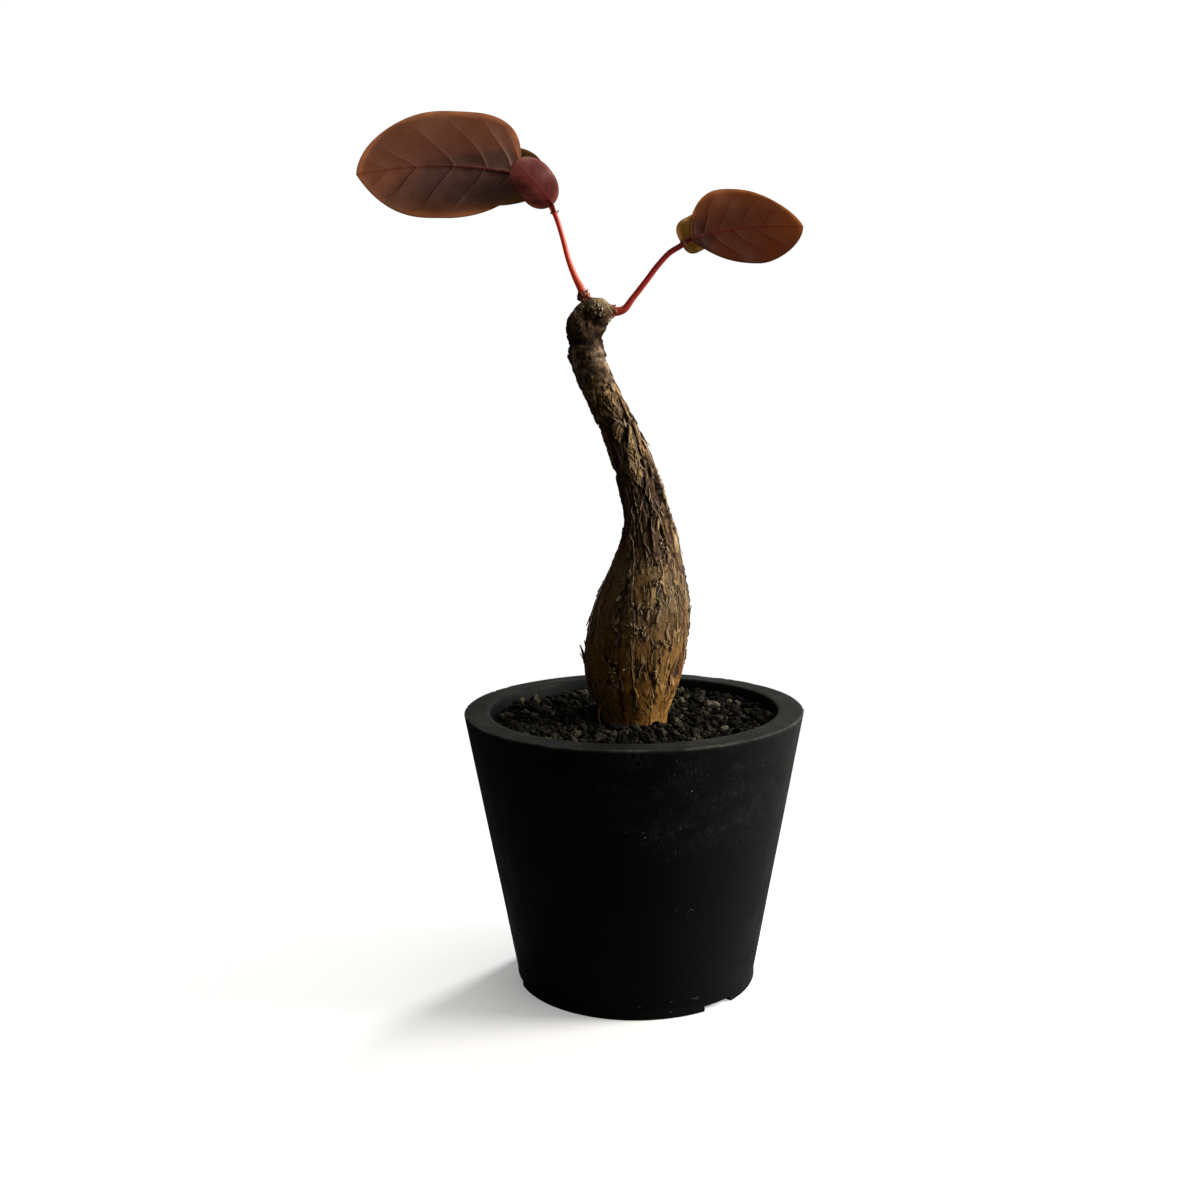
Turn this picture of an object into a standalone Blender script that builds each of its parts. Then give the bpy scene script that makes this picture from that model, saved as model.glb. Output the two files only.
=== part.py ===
"""Potted phyllanthus: a swollen woody stem with two leafy branchlets, in a thick-walled black plastic pot.

Run it with: blender --background --python part.py
Lengths are in metres and +Z is up. The front view looks along +Y, and the pot's axis is the Z axis of the
root empty.
"""

import math
import random
from collections import namedtuple

import bmesh
import bpy
from mathutils import Matrix, Vector, noise

MM = 0.001
SEED = 21
GAP = 0.3 * MM  # clearance between neighbouring pieces

# Pot
POT_HEIGHT = 70.4 * MM
RIM_RADIUS = 43.0 * MM
RIM_INNER_RADIUS = 36.6 * MM
RIM_EDGE = 0.5 * MM
FOOT_RADIUS = 30.8 * MM
FOOT_WALL = 4.2 * MM
FOOT_BAND = 3.4 * MM
FOOT_BAND_STEP = 0.2 * MM
FOOT_EDGE = 0.3 * MM
FLOOR_LIFT = 2.2 * MM
FLOOR_THICKNESS = 3.0 * MM
LOW_WALL = 4.4 * MM
POT_STEPS = 60
NOTCHES = 3
NOTCH_ANGLE = math.radians(-49.7)
NOTCH_WIDTH = 9.4 * MM
NOTCH_HEIGHT = 1.4 * MM
DRAIN_HOLES = 4
DRAIN_RADIUS = 3.0 * MM
DRAIN_CIRCLE = 15.0 * MM
CENTRE_DRAIN_RADIUS = 4.5 * MM
CUTTER_SPARE = 2.0 * MM  # how far a cutter passes the face that it opens

# Soil
SOIL_LEVEL = 67.4 * MM
SOIL_MOUND = 0.4 * MM
SOIL_RELIEF = 1.5 * MM
SOIL_GRAIN = 4.4 * MM
DOME_SLOPE = 1.6
DOME_MEAN = 0.6
SOIL_BED = 8.0 * MM  # radius of the flat middle, under the stem
SOIL_STEPS = 72
SOIL_RINGS = 12
SOIL_SHIFT = 0.6 * MM
SOIL_MARGIN = 1.0 * MM
STONES = 40
STONE_RADII = (1.1 * MM, 2.2 * MM)
STONE_RISE = 0.15  # how far a stone's middle stands over the soil, in radii
STONE_REACH = 1.25  # how far a stone may reach from its middle, in radii
STONE_SPACING = 0.9  # least distance between two stones' middles, over the sum of their radii
STONE_LUMPS = (0.8, 1.15)
STONE_SHAPE = ((0.85, 1.15), (0.75, 1.0), (0.6, 0.85))  # ranges of its length, width and height
STEM_ROOM = 11.0 * MM  # radius round the pot's axis that stays free of stones

# Caudex: height, middle in X and in Y, and width in X, all in millimetres
CAUDEX_STATIONS = (
    (30.0, 0.6, 0.4, 7.0),
    (46.0, 0.8, 0.3, 12.5),
    (60.0, 0.6, 0.0, 15.2),
    (68.0, 0.5, 0.0, 16.8),
    (72.2, 0.3, 0.0, 19.8),
    (77.0, -0.1, -0.2, 23.2),
    (84.0, 0.4, -0.4, 25.4),
    (90.0, 1.2, -0.4, 26.0),
    (96.5, 2.2, -0.3, 24.2),
    (104.6, 3.5, 0.2, 19.4),
    (112.7, 4.2, 0.8, 14.6),
    (120.7, 3.6, 1.4, 11.8),
    (132.7, 0.4, 2.2, 10.4),
    (144.6, -4.4, 2.4, 9.6),
    (152.5, -8.4, 2.0, 9.2),
    (158.3, -10.4, 1.5, 8.9),
    (162.6, -11.0, 1.0, 8.4),
    (167.0, -10.6, 0.6, 9.9),
    (170.0, -9.9, 0.3, 9.2),
    (172.0, -10.1, 0.2, 4.6),
)
CAUDEX_DEPTH_RATIO = 0.95
CAUDEX_SIDES = 32
CAUDEX_ROWS = 50
BURIED_ROWS = 5
GROUND = 67.6 * MM
HOLE_CLEARANCE = 0.42 * MM
HOLE_TOP = GROUND + 8.0 * MM
PLATE_WIDTH = 4.2 * MM
PLATE_LENGTH = 15.0 * MM
PLATE_RELIEF = 0.82 * MM
LUMP_WIDTH = 12.6 * MM
LUMP_LENGTH = 12.0 * MM
LUMP_RELIEF = 0.77 * MM
ROUGH_RADIUS = 9.0 * MM  # the relief is full where the stem is this thick, and less where it is thinner
ROUGH_HEIGHTS = (63.6 * MM, 71.6 * MM)
BURIED_ROUGHNESS = 0.25
NECK_RINGS = (150.0 * MM, 162.0 * MM)
NECK_FADES = (6.0 * MM, 3.0 * MM)
NECK_RING_PITCH = 3.1 * MM
NECK_RING_RELIEF = 0.35 * MM
NECK_RING_TILT = 0.8
NECK_ROUGHNESS = 0.4

# Knobs of the head: middle in X, Y and Z, and radius, in millimetres
HEAD_KNOBS = (
    (-11.9, -1.0, 165.9, 4.0),
    (-8.2, -0.7, 169.2, 3.7),
    (-10.4, 3.0, 168.2, 3.5),
    (-13.2, 1.8, 158.6, 2.1),
    (-7.4, -1.6, 156.6, 2.2),
)

KNOB_LUMPS = 0.16
KNOB_GRAIN = 2.4 * MM

FLAKES = 44
FLAKE_TURN = 0.381966  # turn from one flake to the next, which spreads them evenly
FLAKE_SCATTER = 0.02
FLAKES_POINT_UP_BELOW = 84.0 * MM
FLAKES_NARROW_ABOVE = 112.0 * MM
NARROW_SHARE = 0.62
FLAKE_SPAN = 3.0 * MM  # the stem's direction is taken over this far up and down
FLAKE_HEIGHTS = (75.0 * MM, 150.0 * MM)
FLAKE_LENGTHS = (4.0 * MM, 7.5 * MM)
FLAKE_WIDTHS = (1.8 * MM, 3.6 * MM)
FLAKE_THICKNESS = 1.5 * MM
FLAKE_TILTS = (6.0, 14.0)
# Flakes that stand out of the outline: angle in degrees, height, length, width in millimetres, tilt, way up
MARKED_FLAKES = (
    (2, 99.0, 5.5, 3.0, 16, -1),
    (-4, 129.0, 6.0, 2.6, 14, -1),
    (6, 139.0, 5.0, 2.4, 12, -1),
    (180, 84.5, 4.0, 3.0, 30, 1),
    (186, 104.0, 6.0, 3.0, 10, -1),
    (174, 131.0, 5.0, 2.4, 12, 1),
    (-60, 99.0, 7.5, 3.4, 13, -1),
    (-100, 116.0, 7.0, 3.0, 12, 1),
)

# Branchlets: points in millimetres, from the foot in the head to the last leaf, and radii there
LEFT_BRANCHLET = (
    (-10.5, 0.0, 170.6),
    (-11.5, 0.0, 174.2),
    (-13.3, -0.1, 178.0),
    (-14.8, -0.2, 182.0),
    (-16.3, -0.2, 187.8),
    (-18.0, 0.0, 193.0),
    (-20.4, 0.5, 197.0),
    (-22.8, 0.9, 199.9),
    (-24.7, 1.0, 201.3),
)
LEFT_RADII = (1.15, 1.0, 0.77, 0.66, 0.6, 0.62, 0.62, 0.62, 0.65)
RIGHT_BRANCHLET = (
    (-5.6, -0.2, 169.5),
    (-3.6, -0.2, 169.4),
    (-1.3, -0.2, 170.0),
    (0.8, -0.1, 172.6),
    (3.8, 0.1, 176.3),
    (6.6, 0.3, 179.9),
    (9.6, 0.4, 183.1),
    (12.2, 0.3, 184.7),
    (13.6, 0.2, 185.5),
)
RIGHT_RADII = (1.05, 1.1, 0.92, 0.76, 0.72, 0.7, 0.7, 0.7, 0.68)
# Stipules of a branchlet: root in millimetres, the way they point and the way they face
LEFT_STIPULES = (
    ((-17.4, -0.1, 192.9), (0.4, 0.0, 1.0), (1.0, 0.0, 0.0)),
    ((-18.3, 0.0, 192.6), (-0.6, 0.0, 1.0), (-1.0, 0.0, 0.0)),
)
RIGHT_STIPULES = (
    ((11.8, 0.2, 184.9), (0.5, 0.0, 1.0), (-0.5, 0.0, 1.0)),
)
STIPULE_SIZE = (1.0 * MM, 0.8 * MM, 1.6 * MM)
STIPULE_TILT = 30
BRANCHLET_BEVEL_STEPS = 2
SOCKET_REACH = 7.0 * MM
BUD_SCALES = 7
BUD_SCALE_WIDTH = 2.0 * MM
BUD_SCALE_THICKNESS = 1.1 * MM
BUD_SCALE_LENGTHS = (2.6 * MM, 3.0 * MM, 3.4 * MM)
BUD_SCALE_TILT = 8.0
BUD_SCALE_CIRCLE = 1.65 * MM
BUD_SCALE_SINK = 2.4 * MM
BUD_SCALE_STAGGER = 0.3 * MM

# Leaves
BLADE_THICKNESS = 0.65 * MM
END_SHARE = 0.6  # share of the greatest width at which the grid's end edges meet the outline
VEIN_PAIRS = 6
VEIN_SWEEP = 0.26  # how far a vein runs tipward from the midrib to the edge, over the midrib's length
VEIN_STRAIGHTNESS = 0.35
VEIN_FOLD = 0.18 * MM
VEIN_FLAT = 0.33  # share of the half width over which the folds grow from nothing at the midrib
EDGE_WAVE = 0.5 * MM
EDGE_WAVES = 2.3
EDGE_WAVE_SLANT = 0.3
MIDRIB_START = 0.02
MIDRIB_REACH = 0.86
MIDRIB_POINTS = 7
MIDRIB_TAPER = 0.55
MIDRIB_OFFSET = 0.2 * MM

# One half of a blade: its width in millimetres, where along the midrib it is widest, and the power and root
# of its outline on the base side and on the tip side
Half = namedtuple("Half", "width widest base_power base_root tip_power tip_root")
# A leaf: base and tip are X, Y, Z in millimetres. bow lifts the midrib, lean is how far the blade slopes
# back for each millimetre up, cup how far its edges bend back, and arch how far its middle does. under is
# the side along Y that its underside faces
Leaf = namedtuple(
    "Leaf",
    "name colour base tip bow lean cup arch upper lower cells petiole petiole_radius under",
)
LEAVES = (
    Leaf("leaf_left_large", (0.115, 0.045, 0.032),
         (-25.8, 1.0, 202.0), (-65.0, -3.4, 202.0), 2.4, 0.32, 2.0, 1.6,
         Half(14.0, 0.42, 4.0, 0.25, 2.12, 0.5), Half(12.5, 0.45, 1.6, 0.5, 3.05, 1.0),
         (18, 8), ((-25.0, 1.0, 201.5), (-25.4, 1.0, 201.7)), 0.7, -1),
    Leaf("leaf_left_middle", (0.035, 0.028, 0.010),
         (-19.9, 5.2, 200.0), (-51.8, 9.4, 199.4), 1.6, 0.30, -0.8, -0.6,
         Half(8.6, 0.40, 4.4, 0.35, 2.2, 0.6), Half(6.1, 0.45, 2.0, 0.6, 2.2, 0.7),
         (14, 6), ((-20.2, 1.6, 196.7), (-20.2, 3.3, 197.4)), 0.6, 1),
    Leaf("leaf_left_small", (0.130, 0.032, 0.036),
         (-18.3, -2.0, 194.7), (-26.9, -4.4, 204.7), 0.1, 0.15, 1.0, 0.8,
         Half(5.0, 0.52, 2.2, 0.5, 2.2, 0.5), Half(4.7, 0.52, 2.6, 0.5, 2.6, 0.5),
         (12, 6), ((-18.0, -1.05, 193.2), (-18.2, -1.7, 193.9)), 0.5, -1),
    Leaf("leaf_right_large", (0.105, 0.034, 0.016),
         (14.7, 0.0, 186.4), (41.9, -2.2, 188.8), 1.4, 0.25, 1.6, 1.2,
         Half(10.3, 0.31, 2.3, 0.5, 2.0, 0.9), Half(8.8, 0.62, 2.15, 1.0, 1.95, 0.85),
         (16, 8), ((13.9, 0.2, 185.7), (14.2, 0.1, 185.9)), 0.65, -1),
    Leaf("leaf_right_small", (0.060, 0.032, 0.010),
         (12.8, 3.4, 185.8), (22.6, 6.4, 190.6), 0.2, 0.30, -0.6, -0.5,
         Half(4.9, 0.45, 4.0, 0.3, 2.2, 0.5), Half(4.1, 0.45, 4.0, 0.3, 2.2, 0.5),
         (10, 6), ((12.2, 1.45, 184.5), (12.4, 2.6, 185.0)), 0.5, 1),
)
BRANCHLET_COLOURS = ((0.50, 0.075, 0.045), (0.32, 0.030, 0.028))


def mm(*values):
    """A point or a vector, from millimetres."""
    return Vector(values) * MM


def clear_scene():
    for obj in list(bpy.data.objects):
        bpy.data.objects.remove(obj, do_unlink=True)


def new_collection(name):
    made = bpy.data.collections.new(name)
    bpy.context.scene.collection.children.link(made)
    return made


def new_material(name, colour, roughness):
    made = bpy.data.materials.new(name)
    made.use_nodes = True
    shader = made.node_tree.nodes["Principled BSDF"]
    shader.inputs["Base Color"].default_value = (*colour, 1.0)
    shader.inputs["Roughness"].default_value = roughness
    shader.inputs["Metallic"].default_value = 0.0
    return made


def object_from(bm, name, collection):
    """An object that takes the bmesh as its mesh."""
    mesh = bpy.data.meshes.new(name)
    bm.to_mesh(mesh)
    bm.free()
    obj = bpy.data.objects.new(name, mesh)
    collection.objects.link(obj)
    return obj


def apply_modifiers(obj):
    graph = bpy.context.evaluated_depsgraph_get()
    mesh = bpy.data.meshes.new_from_object(obj.evaluated_get(graph))
    obj.modifiers.clear()
    obj.data = mesh


def cut(obj, cutter):
    """Takes the cutter's shape from the object, by a modifier that stays."""
    cutter.hide_render = True
    cutter.display_type = "WIRE"
    modifier = obj.modifiers.new("cut " + cutter.name, "BOOLEAN")
    modifier.operation = "DIFFERENCE"
    modifier.object = cutter


def fuse(obj, pieces):
    """Joins the pieces to the object that they grow from, and removes them."""
    repeats = new_collection(obj.name + " repeats")
    for piece in pieces:
        for home in list(piece.users_collection):
            home.objects.unlink(piece)
        repeats.objects.link(piece)
    modifier = obj.modifiers.new("join repeats", "BOOLEAN")
    modifier.operation = "UNION"
    modifier.operand_type = "COLLECTION"
    modifier.collection = repeats
    apply_modifiers(obj)
    for piece in pieces:
        bpy.data.objects.remove(piece, do_unlink=True)
    bpy.data.collections.remove(repeats)


def finish_node(obj, root, material, sharp_degrees=35):
    obj.parent = root
    obj.data.materials.clear()
    obj.data.materials.append(material)
    obj.data.shade_smooth()
    obj.data.set_sharp_from_angle(angle=math.radians(sharp_degrees))


def loft(rings):
    """A closed bmesh through rings of points that run anticlockwise, bottom to top."""
    bm = bmesh.new()
    rows = [[bm.verts.new(point) for point in ring] for ring in rings]
    sides = len(rows[0])
    for low, high in zip(rows, rows[1:]):
        for i in range(sides):
            j = (i + 1) % sides
            bm.faces.new((low[i], low[j], high[j], high[i]))
    bm.faces.new(rows[0][::-1])
    bm.faces.new(rows[-1])
    bmesh.ops.triangulate(bm, faces=bm.faces[:])
    return bm


def between(stations, where):
    """The values of a list of stations at a place between them, on a smooth curve through them."""
    last = len(stations) - 1
    i = max(k for k in range(last) if stations[k][0] <= where or k == 0)
    before, low, high, after = (stations[min(max(k, 0), last)] for k in (i - 1, i, i + 1, i + 2))
    step = high[0] - low[0]
    u = min(max((where - low[0]) / step, 0.0), 1.0)
    values = []
    for k in range(1, len(low)):
        start = (high[k] - before[k]) / (high[0] - before[0]) * step
        end = (after[k] - low[k]) / (after[0] - low[0]) * step
        values.append(
            low[k] * (2 * u**3 - 3 * u**2 + 1)
            + high[k] * (3 * u**2 - 2 * u**3)
            + start * (u**3 - 2 * u**2 + u)
            + end * (u**3 - u**2)
        )
    return values


def tube(name, points, radii, collection, bevel_steps):
    """A closed tube of changing radius along points in metres, as a mesh object."""
    curve = bpy.data.curves.new(name, "CURVE")
    curve.dimensions = "3D"
    curve.bevel_depth = 1.0
    curve.bevel_resolution = bevel_steps
    curve.use_fill_caps = True
    spline = curve.splines.new("POLY")
    spline.points.add(len(points) - 1)
    for point, place, radius in zip(spline.points, points, radii):
        point.co = (*place, 1.0)
        point.radius = radius
    guide = bpy.data.objects.new(name + " guide", curve)
    collection.objects.link(guide)
    graph = bpy.context.evaluated_depsgraph_get()
    mesh = bpy.data.meshes.new_from_object(guide.evaluated_get(graph))
    bm = bmesh.new()
    bm.from_mesh(mesh)
    bmesh.ops.remove_doubles(bm, verts=bm.verts[:], dist=0.01 * MM)
    bmesh.ops.recalc_face_normals(bm, faces=bm.faces[:])
    made = object_from(bm, name, collection)
    made.matrix_world = guide.matrix_world
    bpy.data.objects.remove(guide, do_unlink=True)
    bpy.data.curves.remove(curve)
    return made


def spike(name, place, along, outward, size, tilt, collection, sides=4):
    """A flat pointed piece with its root sunk at a place, lying along one direction and tilted outward."""
    width, thickness, length = size
    along = along.normalized()
    side = along.cross(outward).normalized()
    out = side.cross(along).normalized()
    frame = Matrix((side, out, along)).transposed()
    lean = Matrix.Rotation(-math.radians(tilt), 3, "X")
    shape = Matrix.Diagonal((width / 2, thickness / 2, length))
    bm = bmesh.new()
    bmesh.ops.create_cone(bm, cap_ends=True, segments=sides, radius1=1.0, radius2=0.0, depth=1.0)
    bmesh.ops.translate(bm, verts=bm.verts[:], vec=(0.0, 0.0, 0.5))
    turn = (frame @ lean @ shape).to_4x4()
    bmesh.ops.transform(bm, matrix=Matrix.Translation(place) @ turn, verts=bm.verts[:])
    bmesh.ops.recalc_face_normals(bm, faces=bm.faces[:])
    return object_from(bm, name, collection)


def cylinder(name, start, end, radius, collection, sides=24):
    axis = end - start
    bm = bmesh.new()
    bmesh.ops.create_cone(
        bm, cap_ends=True, segments=sides, radius1=radius, radius2=radius, depth=axis.length
    )
    turn = axis.to_track_quat("Z", "Y").to_matrix().to_4x4()
    bmesh.ops.transform(bm, matrix=Matrix.Translation((start + end) / 2) @ turn, verts=bm.verts[:])
    return object_from(bm, name, collection)


def pot_inner_radius(z):
    """The radius of the pot's inside at a height."""
    floor = FLOOR_LIFT + FLOOR_THICKNESS
    share = (z - floor) / (POT_HEIGHT - floor)
    low = FOOT_RADIUS - LOW_WALL
    return low + (RIM_INNER_RADIUS - low) * share


def pot_profile():
    """Half of the pot's section as radius and height, from the rim's outer edge down and round."""
    floor = FLOOR_LIFT + FLOOR_THICKNESS
    hollow = FOOT_RADIUS - FOOT_WALL
    return [
        (RIM_RADIUS - RIM_EDGE, POT_HEIGHT),
        (RIM_RADIUS - 0.15 * RIM_EDGE, POT_HEIGHT - 0.3 * RIM_EDGE),
        (RIM_RADIUS, POT_HEIGHT - RIM_EDGE),
        (FOOT_RADIUS + FOOT_BAND_STEP, FOOT_BAND),
        (FOOT_RADIUS, FOOT_BAND - FOOT_EDGE),
        (FOOT_RADIUS, FOOT_EDGE),
        (FOOT_RADIUS - FOOT_EDGE, 0.0),
        (hollow, 0.0),
        (hollow - FOOT_EDGE, FLOOR_LIFT),
        (0.0, FLOOR_LIFT),
        (0.0, floor),
        (pot_inner_radius(floor), floor),
        (pot_inner_radius(POT_HEIGHT - RIM_EDGE), POT_HEIGHT - RIM_EDGE),
        (RIM_INNER_RADIUS + 0.4 * RIM_EDGE, POT_HEIGHT),
    ]


def make_pot(root, collection, cutters):
    bm = bmesh.new()
    loop = [bm.verts.new((radius, 0.0, height)) for radius, height in pot_profile()]
    for start, end in zip(loop, loop[1:] + loop[:1]):
        on_axis = start.co.x == 0.0 and end.co.x == 0.0
        if not on_axis:
            bm.edges.new((start, end))
    pot = object_from(bm, "pot", collection)
    turn = pot.modifiers.new("turn", "SCREW")
    turn.steps = POT_STEPS
    turn.render_steps = POT_STEPS
    turn.use_merge_vertices = True
    turn.merge_threshold = 0.01 * MM
    for i in range(NOTCHES):
        cut(pot, notch_cutter(i, cutters))
    for i in range(DRAIN_HOLES):
        angle = NOTCH_ANGLE + math.tau * (i + 0.5) / DRAIN_HOLES
        middle = Vector((DRAIN_CIRCLE * math.cos(angle), DRAIN_CIRCLE * math.sin(angle), 0.0))
        cut(pot, drain_cutter(f"drain_{i}", middle, DRAIN_RADIUS, cutters))
    cut(pot, drain_cutter("drain_centre", Vector(), CENTRE_DRAIN_RADIUS, cutters))
    finish_node(pot, root, new_material("black plastic", (0.018, 0.019, 0.021), 0.5), 30)


def notch_cutter(index, cutters):
    """A box that opens a shallow notch through the foot ring."""
    angle = NOTCH_ANGLE + math.tau * index / NOTCHES
    bm = bmesh.new()
    bmesh.ops.create_cube(bm, size=1.0)
    size = Matrix.Diagonal((FOOT_WALL + 2 * CUTTER_SPARE, NOTCH_WIDTH, NOTCH_HEIGHT * 2, 1.0))
    outward = Matrix.Translation((FOOT_RADIUS - FOOT_WALL / 2, 0.0, 0.0))
    turn = Matrix.Rotation(angle, 4, "Z")
    bmesh.ops.transform(bm, matrix=turn @ outward @ size, verts=bm.verts[:])
    return object_from(bm, f"notch_{index}", cutters)


def drain_cutter(name, middle, radius, cutters):
    top = Vector((0.0, 0.0, FLOOR_LIFT + FLOOR_THICKNESS + CUTTER_SPARE))
    return cylinder(name, middle, middle + top, radius, cutters)


def soil_height(x, y):
    """The soil's surface: a low mound at the stem, covered with domes of grit between crevices."""
    distance = math.hypot(x, y) / RIM_INNER_RADIUS
    nearest = noise.voronoi(Vector((x, y, 0.0)) / SOIL_GRAIN)[0]
    dome = min(DOME_SLOPE * (nearest[1] - nearest[0]), 1.0) - DOME_MEAN
    return SOIL_LEVEL + SOIL_MOUND * (1 - distance**2) + SOIL_RELIEF * dome


def soil_profile():
    """Half of the soil's section as radius and height, from the floor's middle out and over the top."""
    floor = FLOOR_LIFT + FLOOR_THICKNESS + GAP
    wall = pot_inner_radius(SOIL_LEVEL) - GAP
    profile = [(0.0, floor), (pot_inner_radius(floor) - GAP, floor)]
    profile += [(wall + (SOIL_BED - wall) * i / SOIL_RINGS, SOIL_LEVEL) for i in range(SOIL_RINGS + 1)]
    return profile + [(0.0, SOIL_LEVEL)]


def soil_body(collection):
    """The turned filling of the pot, with its top moved to the grit's surface."""
    bm = bmesh.new()
    line = [bm.verts.new((radius, 0.0, height)) for radius, height in soil_profile()]
    edges = [bm.edges.new(pair) for pair in zip(line, line[1:])]
    bmesh.ops.spin(
        bm, geom=line + edges, axis=(0, 0, 1), cent=(0, 0, 0),
        steps=SOIL_STEPS, angle=math.tau, use_merge=True,
    )
    bmesh.ops.remove_doubles(bm, verts=bm.verts[:], dist=0.01 * MM)
    bmesh.ops.triangulate(bm, faces=bm.faces[:])
    bmesh.ops.recalc_face_normals(bm, faces=bm.faces[:])
    wall = pot_inner_radius(SOIL_LEVEL) - GAP
    for vert in bm.verts:
        if vert.co.z > SOIL_LEVEL - SOIL_MARGIN:
            at_wall = math.hypot(vert.co.x, vert.co.y) > wall - SOIL_MARGIN
            shift = noise.noise_vector(vert.co / SOIL_GRAIN) * (0.0 if at_wall else SOIL_SHIFT)
            vert.co.z = soil_height(vert.co.x, vert.co.y)
            vert.co.x += shift.x
            vert.co.y += shift.y
    return object_from(bm, "soil", collection)


def scattered_stones(collection):
    """Stones of seeded size and place, half sunk in the soil, clear of each other, the stem and the pot."""
    draw = random.Random(SEED)
    wall = pot_inner_radius(SOIL_LEVEL) - GAP
    placed = []
    stones = []
    while len(stones) < STONES:
        radius = draw.uniform(*STONE_RADII)
        reach = wall - STONE_REACH * radius - GAP
        angle = draw.uniform(0.0, math.tau)
        out = math.sqrt(draw.uniform(STEM_ROOM**2, reach**2))
        place = Vector((out * math.cos(angle), out * math.sin(angle), 0.0))
        if any((place - other).length < STONE_SPACING * (radius + size) for other, size in placed):
            continue
        placed.append((place.copy(), radius))
        place.z = soil_height(place.x, place.y) + radius * STONE_RISE
        stones.append(stone(f"stone_{len(stones)}", place, radius, draw, collection))
    return stones


def stone(name, place, radius, draw, collection):
    bm = bmesh.new()
    bmesh.ops.create_icosphere(bm, subdivisions=1, radius=radius)
    for vert in bm.verts:
        vert.co *= draw.uniform(*STONE_LUMPS)
    flatten = Matrix.Diagonal([draw.uniform(low, high) for low, high in STONE_SHAPE])
    turn = Matrix.Rotation(draw.uniform(0.0, math.tau), 3, "Z") @ flatten
    bmesh.ops.transform(bm, matrix=Matrix.Translation(place) @ turn.to_4x4(), verts=bm.verts[:])
    return object_from(bm, name, collection)


def caudex_section(z):
    """The middle and the half width of the stem at a height."""
    x, y, width = between(CAUDEX_STATIONS, z / MM)
    return Vector((x * MM, y * MM, z)), width / 2 * MM


def ramp(value, start, end):
    """How far a value has come from start to end, from 0 to 1."""
    return min(max((value - start) / (end - start), 0.0), 1.0)


def bark_relief(angle, z, radius):
    """How far the bark stands over its mean: long plates between furrows, and rings round the neck."""
    around = Vector((math.cos(angle), math.sin(angle), 0.0)) * radius
    plates = noise.noise(around / PLATE_WIDTH + Vector((0.0, 0.0, z / PLATE_LENGTH)))
    lumps = noise.noise(around / LUMP_WIDTH + Vector((5.0, 3.0, z / LUMP_LENGTH)))
    low, high = NECK_RINGS
    on_neck = ramp(z, low, low + NECK_FADES[0]) * ramp(z, high, high - NECK_FADES[1])
    wave = math.sin(math.tau * z / NECK_RING_PITCH + NECK_RING_TILT * math.sin(angle))
    above = max(ramp(z, *ROUGH_HEIGHTS), BURIED_ROUGHNESS)
    calm = 1 - (1 - NECK_ROUGHNESS) * on_neck
    size = min(radius / ROUGH_RADIUS, 1.0) * above * calm
    return size * (PLATE_RELIEF * plates + LUMP_RELIEF * lumps) + on_neck * NECK_RING_RELIEF * wave


def caudex_point(angle, z, grow=0.0):
    middle, radius = caudex_section(z)
    radius += bark_relief(angle, z, radius) + grow
    return middle + Vector((radius * math.cos(angle), CAUDEX_DEPTH_RATIO * radius * math.sin(angle), 0.0))


def caudex_rows(low, high, rows, grow=0.0):
    rings = []
    for i in range(rows + 1):
        z = low + (high - low) * i / rows
        rings.append([caudex_point(math.tau * k / CAUDEX_SIDES, z, grow) for k in range(CAUDEX_SIDES)])
    return rings


def caudex_body(collection):
    root_tip = CAUDEX_STATIONS[0][0] * MM
    crown = CAUDEX_STATIONS[-1][0] * MM
    buried = caudex_rows(root_tip, GROUND, BURIED_ROWS)
    rings = buried[:-1] + caudex_rows(GROUND, crown, CAUDEX_ROWS)
    return object_from(loft(rings), "caudex", collection)


def planting_hole(cutters):
    """The hole that the stem stands in, with clearance all round."""
    root_tip = CAUDEX_STATIONS[0][0] * MM
    rings = caudex_rows(root_tip, GROUND, BURIED_ROWS, HOLE_CLEARANCE)
    rings += caudex_rows(GROUND, HOLE_TOP, BURIED_ROWS, HOLE_CLEARANCE)[1:]
    rings[0] = [point - Vector((0.0, 0.0, HOLE_CLEARANCE)) for point in rings[0]]
    return object_from(loft(rings), "planting_hole", cutters)


def head_knob(index, knob, collection):
    *middle, radius = knob
    bm = bmesh.new()
    bmesh.ops.create_icosphere(bm, subdivisions=2, radius=radius * MM)
    for vert in bm.verts:
        vert.co *= 1 + KNOB_LUMPS * noise.noise(vert.co / KNOB_GRAIN + Vector((index, 0.0, 0.0)))
        vert.co += mm(*middle)
    return object_from(bm, f"knob_{index}", collection)


def bark_flake(name, angle, z, size, tilt, way, collection):
    """A flake of bark, with its root under the bark and its point standing off, up or down the stem."""
    place = caudex_point(angle, z, -0.5 * size[1])
    along = (caudex_point(angle, z + FLAKE_SPAN) - caudex_point(angle, z - FLAKE_SPAN)) * way
    outward = Vector((math.cos(angle), math.sin(angle), 0.0))
    return spike(name, place, along, outward, size, tilt, collection)


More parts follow.
